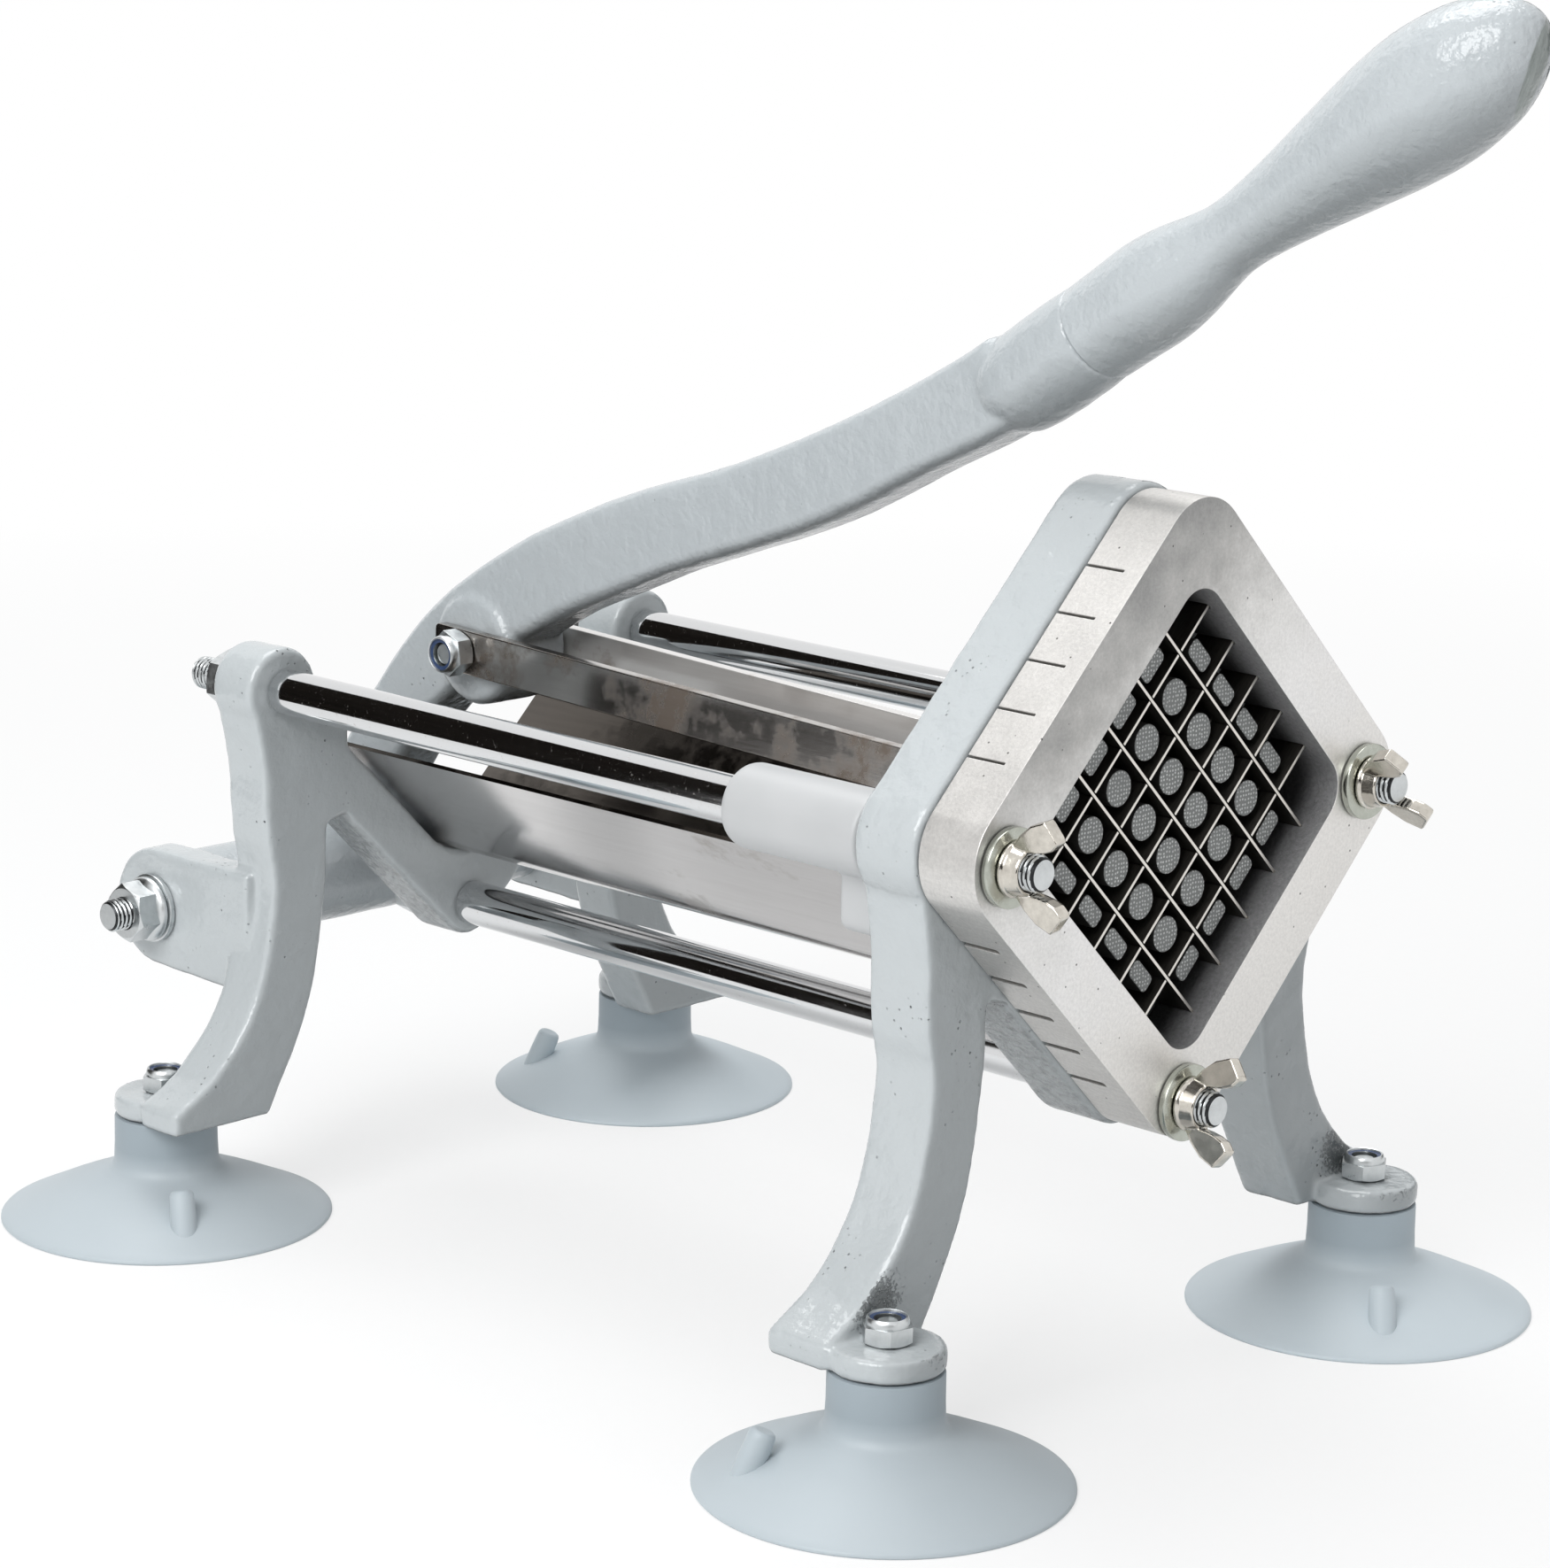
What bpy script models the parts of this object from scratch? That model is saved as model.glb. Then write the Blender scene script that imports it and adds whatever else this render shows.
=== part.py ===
"""French fry cutter: a square blade block turned on its corner between two painted frames,
a finger block that slides on three rods, and a long lever that pushes it through two links."""

import math

import bmesh
import bpy
from mathutils import Matrix, Vector

mm = 0.001
root_two = math.sqrt(2)
quarter = math.pi / 2
eighth = math.pi / 4

# Gaps and small finish sizes
touch_gap = 0.3 * mm
bore_gap = 0.3 * mm
cut_overrun = 2.0 * mm
cast_round = 1.6 * mm
weld_reach = 0.005 * mm
fine_steps = 16
round_steps = 20
bore_steps = 16
hub_steps = 24

# Blade block and its grid
cell_pitch = 12.7 * mm
cell_count = 6
opening_side = cell_count * cell_pitch
block_rim = 15.65 * mm
block_side = opening_side + 2 * block_rim
block_depth = 15.5 * mm
block_corner = 14.0 * mm
opening_corner = 8.0 * mm
block_edge = 0.8 * mm
blade_thickness = 0.7 * mm
blade_seat = 10.9 * mm
blade_length = opening_side + 2 * blade_seat
blade_inset = 5.2 * mm

# Places of the rods, in from the block's corners
rod_side_inset = 16.0 * mm
rod_low_inset = 13.6 * mm
rod_side_offset = block_side / root_two - rod_side_inset
rod_low_offset = block_side / root_two - rod_low_inset

# The two cast frames
centre_height = 131.5 * mm
front_plate_depth = 17.5 * mm
frame_spacing = 198.7 * mm
rear_plate_depth = 15.0 * mm
frame_opening_gap = 0.1 * mm
frame_proud = 1.0 * mm
frame_side = block_side + 2 * frame_proud
frame_corner = block_corner + frame_proud
leg_waist_out = 3.3 * mm
leg_waist_x = rod_side_offset + leg_waist_out
leg_waist_width = 17.2 * mm
leg_inner_x = leg_waist_x - leg_waist_width
foot_outer_x = 94.3 * mm
foot_inner_x = 65.1 * mm
pad_bottom_z = 26.2 * mm
pad_thickness = 5.2 * mm
pad_radius = 12.6 * mm
pad_side_in = 2.4 * mm
pad_tongue_in = 3.0 * mm
foot_x = 81.6 * mm
foot_reach = 5.4 * mm
leg_fillet_in = 5.4 * mm
leg_fillet_x = leg_inner_x - leg_fillet_in
rear_boss_radius = 10.5 * mm
low_boss_radius = 8.5 * mm
notch_side_gap = 0.6 * mm
notch_top_drop = 1.5 * mm
web_thickness = 13.2 * mm
ear_waist_in = 6.8 * mm
ear_inner_x = leg_waist_x - ear_waist_in
ear_thickness = 9.5 * mm
ear_radius = 14.8 * mm
ear_out = 0.8 * mm
ear_fall = 1.0 * mm
ear_edge = 1.2 * mm

# Rods, their studs and their nuts
rod_diameter = 11.0 * mm
stud_diameter = 8.0 * mm
stud_tip_front = 9.8 * mm
stud_tip_rear = 16.5 * mm
low_stud_tip_rear = 10.0 * mm
stud_chamfer = 0.8 * mm
washer_radius = 8.6 * mm
washer_thickness = 1.6 * mm
rear_nut_across = 13.0 * mm
rear_nut_height = 6.5 * mm

# Wing nuts
wing_base_radius = 6.1 * mm
wing_base_height = 0.8 * mm
wing_hub_radius = 5.6 * mm
wing_hub_height = 3.7 * mm
wing_tip_radius = 12.4 * mm
wing_tip_height = 9.6 * mm
wing_tip_width = 5.8 * mm
wing_tip_corner = 1.0 * mm
wing_thickness = 3.0 * mm
wing_round = 0.7 * mm
wing_turns = {"left": -7.0, "right": -40.0, "low": 12.0}

# Sheet trough
trough_sheet = 1.0 * mm
trough_from_rod = 21.4 * mm
trough_half_width = rod_side_offset - trough_from_rod
trough_bend = 17.0 * mm
trough_drop = 1.5 * mm
trough_rear_proud = 1.8 * mm
bend_steps = 6

# Pusher
stop_gap = 1.2 * mm
sleeve_radius = 9.5 * mm
sleeve_length = 40.5 * mm
carriage_depth = 11.5 * mm
push_gap = 1.1 * mm
push_side = opening_side - 2 * push_gap
push_corner = 16.0 * mm
push_base_depth = 6.2 * mm
finger_tip_inset = 6.4 * mm
finger_side_gap = 2.3 * mm
finger_draw = 0.35 * mm
finger_pitch = cell_pitch - finger_draw
finger_radius = cell_pitch / 2 - finger_side_gap
edge_finger_gap = 2.2 * mm
edge_finger_inset = 5.0 * mm
edge_finger_near = (cell_count / 2 - 1) * cell_pitch + edge_finger_gap
edge_finger_far = push_side / 2 - edge_finger_inset
edge_finger_width = edge_finger_far - edge_finger_near
edge_finger_offset = (edge_finger_far + edge_finger_near) / 2
edge_finger_corner_share = 0.3
edge_finger_corner = edge_finger_width * edge_finger_corner_share
finger_steps = 10
wing_slot_in = 3.6 * mm
wing_slot_out = 3.4 * mm
wing_slot_over = 2.4 * mm
lobe_drop = 22.5 * mm
lobe_out = 1.5 * mm
lobe_outer_x = rod_side_offset + lobe_out
lobe_round = 3.0 * mm
lug_half_width = 10.0 * mm
lug_radius = 9.0 * mm
link_front_reach = 18.0 * mm
block_screw_x = 24.0 * mm
block_screw_radius = 3.0 * mm
block_screw_head = 5.6 * mm
block_screw_head_height = 3.6 * mm
block_screw_bite = 4.4 * mm
screw_drive_radius = 2.0 * mm
screw_drive_depth = 2.0 * mm

# Lever, its pivot and its grip
pivot_setback = 29.0 * mm
pivot_height = 70.5 * mm
hub_radius = 12.3 * mm
arm_half_width = 8.5 * mm
arm_round = 3.2 * mm
seam_reach = 245.2 * mm
seam_rise = 163.2 * mm
grip_slope = math.radians(33.1)
neck_length = 31.0 * mm
neck_radius = 11.3 * mm
neck_swell = 0.4 * mm
grip_length = 129.9 * mm
grip_radius = 14.9 * mm
grip_end_radius = 12.0 * mm
spigot_radius = 6.0 * mm
spigot_length = 24.0 * mm
crank_back = 55.0 * mm
crank_up = 66.5 * mm
crank_boss_radius = 14.0 * mm
crank_boss_half_width = 10.0 * mm
boss_round = 0.8 * mm
pivot_tip_out = 14.6 * mm
flange_nut_across = 13.0 * mm
flange_nut_height = 7.6 * mm
flange_radius = 8.1 * mm
flange_height = 1.6 * mm
pivot_washer_radius = 8.6 * mm
pivot_washer_thickness = 1.4 * mm
pivot_head_height = 5.4 * mm

# Links and their bolts
link_thickness = 3.0 * mm
link_height = 11.0 * mm
link_end = 9.5 * mm
link_corner = 1.2 * mm
link_bolt_radius = 3.0 * mm
link_nut_across = 10.0 * mm
link_nut_height = 6.6 * mm
link_nut_collar = 2.0 * mm
link_head_height = 4.0 * mm

# Suction cups, their studs and nuts
cup_radius = 40.5 * mm
cup_neck_radius = 12.5 * mm
cup_neck_foot_z = 12.6 * mm
cup_rim_height = 1.1 * mm
cup_rim_width = 2.2 * mm
cup_wall = 2.6 * mm
cup_stud_radius = 3.0 * mm
cup_stud_depth = 10.5 * mm
foot_nut_across = 10.0 * mm
foot_nut_height = 5.6 * mm
tab_radius = 3.1 * mm
tab_height = 8.5 * mm
tab_place = 29.0 * mm
tab_sink = 4.0 * mm
tab_lean = math.radians(-22.0)

# Shares of named sizes, chosen by eye
leg_outer_shares = ((0.00, 1.000), (0.035, 0.845), (0.065, 0.755), (0.055, 0.665), (0.000, 0.565),
                    (0.030, 0.450), (0.110, 0.330), (0.225, 0.235), (0.400, 0.150), (0.640, 0.070))
leg_inner_shares = ((0.74, 0.040), (0.425, 0.165), (0.255, 0.265), (0.145, 0.365), (0.063, 0.475),
                    (0.016, 0.600), (0.000, 0.700))
arm_line_shares = ((0.000, 0.000, 0.98), (0.018, 0.095, 0.94), (0.051, 0.193, 0.90), (0.106, 0.303, 0.90),
                   (0.153, 0.374, 0.98), (0.200, 0.429, 1.05), (0.253, 0.481, 1.05), (0.319, 0.537, 1.03),
                   (0.400, 0.590, 1.03), (0.475, 0.635, 0.99), (0.559, 0.677, 0.95), (0.648, 0.726, 0.96),
                   (0.721, 0.774, 0.95), (0.792, 0.827, 0.91), (0.872, 0.888, 0.94), (0.915, 0.926, 0.95))
arm_half_height = 10.7 * mm
grip_shares = ((0.992, 0.22), (0.971, 0.46), (0.932, 0.70), (0.879, 0.89), (0.817, 0.98), (0.759, 1.00),
               (0.681, 0.945), (0.585, 0.820), (0.484, 0.680), (0.387, 0.570), (0.323, 0.545), (0.275, 0.600),
               (0.207, 0.725), (0.140, 0.790), (0.068, 0.775))
cup_skin_shares = ((0.060, 0.920), (0.200, 0.800), (0.430, 0.590), (0.700, 0.330), (0.900, 0.110))
cup_hollow_share = 0.86
leg_reach_share = 0.93
pad_edge_share = 0.6
hex_edge_share = 0.06
collar_root_share = 0.94
collar_top_share = 0.80
wing_hub_top_share = 0.88
wing_base_edge_share = 0.8
wing_root_share = 0.82
neck_shares = ((0.90, 0.93), (0.62, 1.04), (0.00, 1.10))
neck_swell_shares = (0.30, 0.70)
link_tip_share = 0.8
foot_stud_share = 0.9
foot_collar_share = 0.32
tab_top_share = 0.86
tab_edge_share = 0.3
tab_turns = {"front_left": 147.0, "front_right": 228.0, "rear_left": 240.0, "rear_right": 132.0}

# Places along the machine, from the front face of the block
front_plate_y = block_depth + touch_gap
front_plate_back = front_plate_y + front_plate_depth
rear_plate_y = front_plate_back + frame_spacing
rear_plate_back = rear_plate_y + rear_plate_depth
pivot_y = rear_plate_back + pivot_setback
seam_y = pivot_y - seam_reach
seam_z = pivot_height + seam_rise
crank_y = pivot_y - crank_back
crank_z = pivot_height + crank_up
carriage_y = front_plate_back + stop_gap
link_front_y = carriage_y + carriage_depth + link_front_reach
front_foot_y = front_plate_y - foot_reach
rear_foot_y = rear_plate_back + foot_reach
pad_top_z = pad_bottom_z + pad_thickness
cup_top_z = pad_bottom_z - touch_gap
tip_y = seam_y - (grip_length - grip_end_radius) * math.cos(grip_slope) - grip_end_radius
back_y = rear_foot_y + cup_radius
middle_y = (tip_y + back_y) / 2


def place(x, y, z):
    """A point of the machine, y counted from the block's face, in the part's own frame."""
    return Vector((x, y - middle_y, z))


def clear_scene():
    for old in list(bpy.data.objects):
        bpy.data.objects.remove(old, do_unlink=True)


def new_collection(name):
    found = bpy.data.collections.new(name)
    bpy.context.scene.collection.children.link(found)
    return found


def material(name, colour, roughness, metallic):
    made = bpy.data.materials.new(name)
    made.use_nodes = True
    shader = made.node_tree.nodes["Principled BSDF"]
    shader.inputs["Base Color"].default_value = (*colour, 1)
    shader.inputs["Roughness"].default_value = roughness
    shader.inputs["Metallic"].default_value = metallic
    return made


def paint(name):
    return material(name + "_paint", (0.52, 0.56, 0.58), 0.35, 0)


def steel(name):
    return material(name + "_steel", (0.72, 0.72, 0.71), 0.22, 1)


def rubber(name):
    return material(name + "_rubber", (0.38, 0.43, 0.46), 0.6, 0)


def cast_metal(name):
    return material(name + "_cast", (0.66, 0.67, 0.68), 0.45, 1)


def add_object(name, mesh, look=None, guide=False):
    made = bpy.data.objects.new(name, mesh)
    (guides if guide else parts).objects.link(made)
    if guide:
        made.hide_render = True
        made.display_type = "WIRE"
    if look:
        mesh.materials.append(look)
    return made


def turn_to(axis):
    """Rotation that takes local Z onto a world axis, local X staying level."""
    if axis == "X":
        return Matrix.Rotation(quarter, 4, "Z") @ Matrix.Rotation(quarter, 4, "X")
    if axis == "Y":
        return Matrix.Rotation(quarter, 4, "X")
    return Matrix.Identity(4)


def smooth_round(made):
    made.data.shade_smooth()
    made.data.set_sharp_from_angle(angle=math.radians(35))


def plate(name, loops, depth, axis, centre, look=None, guide=False, edge=0):
    """Flat outline, with holes, given a depth along an axis."""
    curve = bpy.data.curves.new(name, "CURVE")
    curve.dimensions = "2D"
    curve.fill_mode = "BOTH"
    curve.extrude = depth / 2
    for loop in loops:
        spline = curve.splines.new("POLY")
        spline.points.add(len(loop) - 1)
        for point, (u, v) in zip(spline.points, loop):
            point.co = (u, v, 0, 1)
        spline.use_cyclic_u = True
    drawn = bpy.data.objects.new(name + "_outline", curve)
    parts.objects.link(drawn)
    bpy.context.view_layer.update()
    mesh = bpy.data.meshes.new_from_object(drawn.evaluated_get(bpy.context.evaluated_depsgraph_get()))
    bpy.data.objects.remove(drawn, do_unlink=True)
    shell = bmesh.new()
    shell.from_mesh(mesh)
    bmesh.ops.remove_doubles(shell, verts=shell.verts, dist=weld_reach)
    bmesh.ops.dissolve_limit(shell, angle_limit=math.radians(0.5), verts=shell.verts, edges=shell.edges)
    bmesh.ops.recalc_face_normals(shell, faces=shell.faces)
    shell.to_mesh(mesh)
    shell.free()
    made = add_object(name, mesh, look, guide)
    made.matrix_world = Matrix.Translation(centre) @ turn_to(axis)
    if edge:
        bevel(made, edge)
    return made


def bevel(made, width, angle=50):
    edges = made.modifiers.new("rounded_edges", "BEVEL")
    edges.width = width
    edges.segments = 1
    edges.limit_method = "ANGLE"
    edges.angle_limit = math.radians(angle)
    return edges


def cylinder(name, radius, length, axis, centre, look=None, guide=False, steps=bore_steps, top=None, turn=0):
    """Cylinder, cone or prism along an axis, centred on a point."""
    mesh = bpy.data.meshes.new(name)
    body = bmesh.new()
    bmesh.ops.create_cone(body, cap_ends=True, segments=steps, radius1=radius,
                          radius2=radius if top is None else top, depth=length,
                          matrix=Matrix.Rotation(turn, 4, "Z"))
    body.to_mesh(mesh)
    body.free()
    made = add_object(name, mesh, look, guide)
    made.matrix_world = Matrix.Translation(centre) @ turn_to(axis)
    return made


def turned(name, profile, matrix, look=None, guide=False, steps=round_steps):
    """Profile of (radius, height) points, top to bottom down its outer side, turned about Z."""
    mesh = bpy.data.meshes.new(name)
    ring = profile[0] == profile[-1]
    count = len(profile) - 1 if ring else len(profile)
    lines = [(i, (i + 1) % count) for i in range(count if ring else count - 1)]
    mesh.from_pydata([(r, 0, z) for r, z in profile[:count]], lines, [])
    made = add_object(name, mesh, look, guide)
    made.matrix_world = matrix
    spin = made.modifiers.new("turned", "SCREW")
    spin.axis = "Z"
    spin.steps = steps
    spin.render_steps = steps
    spin.use_merge_vertices = True
    spin.merge_threshold = weld_reach
    spin.use_smooth_shade = True
    return made


def combine(target, tool, operation):
    joint = target.modifiers.new(operation.lower() + "_" + tool.name, "BOOLEAN")
    joint.operation = operation
    joint.solver = "EXACT"
    joint.object = tool


def join(target, tool):
    combine(target, tool, "UNION")


def cut(target, tool):
    combine(target, tool, "DIFFERENCE")


def bore(target, radius, length, axis, centre, name):
    hole = cylinder(name, radius + bore_gap, length, axis, centre, guide=True)
    cut(target, hole)


def carry(children, empty_name, location):
    """Parents pieces that move together to an empty on their joint's axis."""
    holder = bpy.data.objects.new(empty_name, None)
    parts.objects.link(holder)
    holder.location = location
    bpy.context.view_layer.update()
    for child in children:
        child.parent = holder
        child.matrix_parent_inverse = holder.matrix_world.inverted()
    return holder


def arc(cx, cy, radius, start, end, steps):
    """Points of an arc from one angle to another, in radians."""
    return [(cx + radius * math.cos(start + (end - start) * i / steps),
             cy + radius * math.sin(start + (end - start) * i / steps)) for i in range(steps + 1)]


def diamond(side, corner, cy=0, steps=5):
    """Square on its corner with rounded corners, anticlockwise from the right."""
    reach = side / root_two - corner * root_two
    points = []
    for turn in range(4):
        middle = turn * quarter
        points += arc(reach * math.cos(middle), cy + reach * math.sin(middle), corner,
                      middle - eighth, middle + eighth, steps)
    return points


def circle(cx, cy, radius, steps=bore_steps):
    return [(cx + radius * math.cos(2 * math.pi * i / steps),
             cy + radius * math.sin(2 * math.pi * i / steps)) for i in range(steps)]


def mirrored(points):
    """A right half, bottom to top, closed with its mirror image across x = 0."""
    return points + [(-x, y) for x, y in reversed(points) if x > weld_reach]


def smooth_line(points, steps):
    """Catmull-Rom line through points of any size."""
    ends = [points[0]] + list(points) + [points[-1]]
    line = []
    for a, b, c, d in zip(ends, ends[1:], ends[2:], ends[3:]):
        for i in range(steps):
            t = i / steps
            line.append(tuple(0.5 * (2 * q + (r - p) * t + (2 * p - 5 * q + 4 * r - s) * t * t
                                     + (3 * q - p - 3 * r + s) * t ** 3) for p, q, r, s in zip(a, b, c, d)))
    line.append(tuple(points[-1]))
    return line


def leg_outer(top_x, top_z):
    """Outer edge of a right leg from its top down to the foot."""
    start_share = leg_outer_shares[0][1]
    points = []
    for out, up in leg_outer_shares:
        wide = leg_waist_x + out * (foot_outer_x - leg_waist_x)
        blend = max(0, (up - leg_outer_shares[3][1]) / (start_share - leg_outer_shares[3][1]))
        points.append((wide + blend * blend * (top_x - leg_waist_x), pad_top_z + up * (top_z - pad_top_z)))
    return smooth_line(points, 2)


def leg_inner():
    """Inner edge of a right leg from the foot up to the web."""
    reach = (centre_height - pad_top_z) * leg_reach_share
    points = [(leg_inner_x + out * (foot_inner_x - leg_inner_x), pad_top_z + up * reach)
              for out, up in leg_inner_shares]
    return smooth_line(points, 2)


def foot_pad(name, side, foot_y, tongue_y):
    """Pad under a leg, drawn out into a round lobe that takes the cup's stud."""
    half = foot_outer_x - pad_side_in - foot_x
    start = math.acos(half / pad_radius)
    lobe = arc(0, 0, pad_radius, -start, math.pi + start, 14)
    away = 1 if foot_y > tongue_y else -1
    loop = [(foot_x + x, foot_y + away * y) for x, y in lobe]
    loop += [(foot_x - half, tongue_y), (foot_x + half, tongue_y)]
    loop = [(side * x, y) for x, y in loop]
    middle = Vector((0, -middle_y, pad_bottom_z + pad_thickness / 2))
    return plate(name, [loop], pad_thickness, "Z", middle, guide=True, edge=cast_round * pad_edge_share)


def front_frame():
    """Casting behind the blade block: a diamond round the opening and two curved legs."""
    reach = frame_side / root_two - frame_corner * root_two
    low_z = centre_height - frame_side / root_two
    corner_end = -math.radians(38)
    right = arc(0, centre_height - reach, frame_corner, -quarter, -eighth, 3)
    right += [(leg_fillet_x, low_z + leg_fillet_x)]
    inner = leg_inner()
    right += list(reversed(inner))
    right += [(foot_inner_x, pad_bottom_z), (foot_outer_x, pad_bottom_z), (foot_outer_x, pad_top_z)]
    corner_x = reach + frame_corner * math.cos(corner_end)
    corner_z = centre_height + frame_corner * math.sin(corner_end)
    right += list(reversed(leg_outer(corner_x, corner_z)))
    right += arc(reach, centre_height, frame_corner, corner_end, eighth, 5)[1:]
    right += arc(0, centre_height + reach, frame_corner, eighth, quarter, 3)
    opening = diamond(opening_side + 2 * frame_opening_gap, opening_corner, centre_height, 3)
    middle_plate_y = front_plate_y + front_plate_depth / 2
    made = plate("front_frame", [mirrored(right), opening], front_plate_depth, "Y",
                 place(0, middle_plate_y, 0), paint("front_frame"), edge=cast_round)
    for side, word in ((-1, "left"), (1, "right")):
        join(made, foot_pad("front_pad_" + word, side, front_foot_y, front_plate_back - pad_tongue_in))
        bore(made, cup_stud_radius, 4 * pad_thickness, "Z", place(side * foot_x, front_foot_y, pad_bottom_z),
             "front_pad_bore_" + word)
    for x, z, word in rod_places():
        bore(made, stud_diameter / 2, 2 * front_plate_depth, "Y", place(x, middle_plate_y, z),
             "front_stud_bore_" + word)
    smooth_round(made)
    return made


def rod_places():
    return ((-rod_side_offset, centre_height, "left"), (rod_side_offset, centre_height, "right"),
            (0, centre_height - rod_low_offset, "low"))


def trough_plane_z():
    """Height at which the trough's two outer faces would meet."""
    return centre_height - opening_side / root_two - trough_drop


def rear_frame():
    """Casting at the back: rod bosses, a notched web round the trough's end, legs and two ears."""
    notch_z = trough_plane_z() - touch_gap * root_two
    notch_round = trough_bend + touch_gap
    notch_half_width = trough_half_width + notch_side_gap
    low_z = centre_height - rod_low_offset
    web_outer_z = notch_z - web_thickness * root_two
    boss_end = -math.radians(32)
    right = arc(0, low_z, low_boss_radius, -quarter, -math.radians(38), 3)
    right += [(leg_fillet_x, web_outer_z + leg_fillet_x)]
    right += list(reversed(leg_inner()))
    right += [(foot_inner_x, pad_bottom_z), (foot_outer_x, pad_bottom_z), (foot_outer_x, pad_top_z)]
    boss_x = rod_side_offset + rear_boss_radius * math.cos(boss_end)
    boss_z = centre_height + rear_boss_radius * math.sin(boss_end)
    right += list(reversed(leg_outer(boss_x, boss_z)))
    top_start = math.asin(notch_top_drop / rear_boss_radius)
    right += arc(rod_side_offset, centre_height, rear_boss_radius, boss_end, math.pi + top_start, 9)[1:]
    notch_top_z = centre_height - notch_top_drop
    right += [(notch_half_width, notch_top_z), (notch_half_width, notch_z + notch_half_width)]
    right += list(reversed(arc(0, notch_z + notch_round * root_two, notch_round, -quarter, -eighth, 4)))
    loop = right + [(-x, z) for x, z in reversed(right) if x > weld_reach]
    middle_plate_y = rear_plate_y + rear_plate_depth / 2
    made = plate("rear_frame", [loop], rear_plate_depth, "Y", place(0, middle_plate_y, 0),
                 paint("rear_frame"), edge=cast_round)
    for side, word in ((-1, "left"), (1, "right")):
        join(made, foot_pad("rear_pad_" + word, side, rear_foot_y, rear_plate_y + pad_tongue_in))
        join(made, ear("ear_" + word, side))
        bore(made, cup_stud_radius, 4 * pad_thickness, "Z", place(side * foot_x, rear_foot_y, pad_bottom_z),
             "rear_pad_bore_" + word)
    for x, z, word in rod_places():
        bore(made, stud_diameter / 2, 2 * rear_plate_depth, "Y", place(x, middle_plate_y, z),
             "rear_stud_bore_" + word)
    bore(made, stud_diameter / 2, 3 * (ear_inner_x + ear_thickness), "X", place(0, pivot_y, pivot_height),
         "ear_bore")
    smooth_round(made)
    return made


def ear(name, side):
    """Flat tongue behind a rear leg that holds one end of the lever's pivot."""
    root_y = rear_plate_y + rear_plate_depth / 2
    loop = [(root_y, pivot_height - ear_radius - ear_fall)]
    loop += arc(pivot_y + ear_out, pivot_height, ear_radius, -quarter, quarter, 12)
    loop += [(root_y, pivot_height + ear_radius)]
    loop = [(y - middle_y, z) for y, z in loop]
    centre = Vector((side * (ear_inner_x + ear_thickness / 2), 0, 0))
    return plate(name, [loop], ear_thickness, "X", centre, guide=True, edge=ear_edge)


def slot_boxes(name, along):
    """Five parallel slots across the whole block, open at its rear face."""
    mesh = bpy.data.meshes.new(name)
    body = bmesh.new()
    slot_depth = block_depth - blade_inset
    length = block_side + 2 * cut_overrun
    width = blade_thickness + 2 * touch_gap
    depth = slot_depth + cut_overrun
    for i in range(cell_count - 1):
        offset = (i - (cell_count - 2) / 2) * cell_pitch
        size = Matrix.Diagonal((length, depth, width, 1))
        bmesh.ops.create_cube(body, size=1, matrix=Matrix.Translation((0, 0, offset)) @ size)
    body.to_mesh(mesh)
    body.free()
    made = add_object(name, mesh, guide=True)
    centre = place(0, blade_inset + depth / 2, centre_height)
    made.matrix_world = Matrix.Translation(centre) @ Matrix.Rotation(along, 4, "Y")
    return made


def blade_block():
    """Aluminium square on its corner, slotted from behind for the blades."""
    loops = [diamond(block_side, block_corner, centre_height, 6),
             diamond(opening_side, opening_corner, centre_height, 4)]
    made = plate("blade_block", loops, block_depth, "Y", place(0, block_depth / 2, 0),
                 cast_metal("blade_block"), edge=block_edge)
    cut(made, slot_boxes("slots_a", -eighth))
    cut(made, slot_boxes("slots_b", eighth))
    for x, z, word in rod_places():
        bore(made, stud_diameter / 2, 2 * block_depth, "Y", place(x, block_depth / 2, z), "block_bore_" + word)
    smooth_round(made)
    return made


def blade(name, offset, along, notch_front):
    """Thin strip with half-depth notches where the other blades cross it."""
    front = blade_inset + touch_gap
    back = block_depth
    middle = (front + back) / 2
    half_notch = blade_thickness / 2 + touch_gap
    near, far = (front, back) if notch_front else (back, front)
    deep = middle + touch_gap / 2 if notch_front else middle - touch_gap / 2
    loop = [(-blade_length / 2, far), (-blade_length / 2, near)]
    for i in range(cell_count - 1):
        s = (i - (cell_count - 2) / 2) * cell_pitch
        loop += [(s - half_notch, near), (s - half_notch, deep), (s + half_notch, deep), (s + half_notch, near)]
    loop += [(blade_length / 2, near), (blade_length / 2, far)]
    made = plate(name, [loop], blade_thickness, "Z", Vector((0, 0, 0)), steel(name))
    made.matrix_world = (Matrix.Translation(place(0, 0, centre_height)) @ Matrix.Rotation(along, 4, "Y")
                         @ Matrix.Translation((0, 0, offset)))
    return made


def blades():
    made = []
    for i in range(cell_count - 1):
        offset = ((cell_count - 2) / 2 - i) * cell_pitch
        made.append(blade("blade_a_%d" % (i + 1), offset, -eighth, True))
        made.append(blade("blade_b_%d" % (i + 1), offset, eighth, False))
    return made


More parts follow.
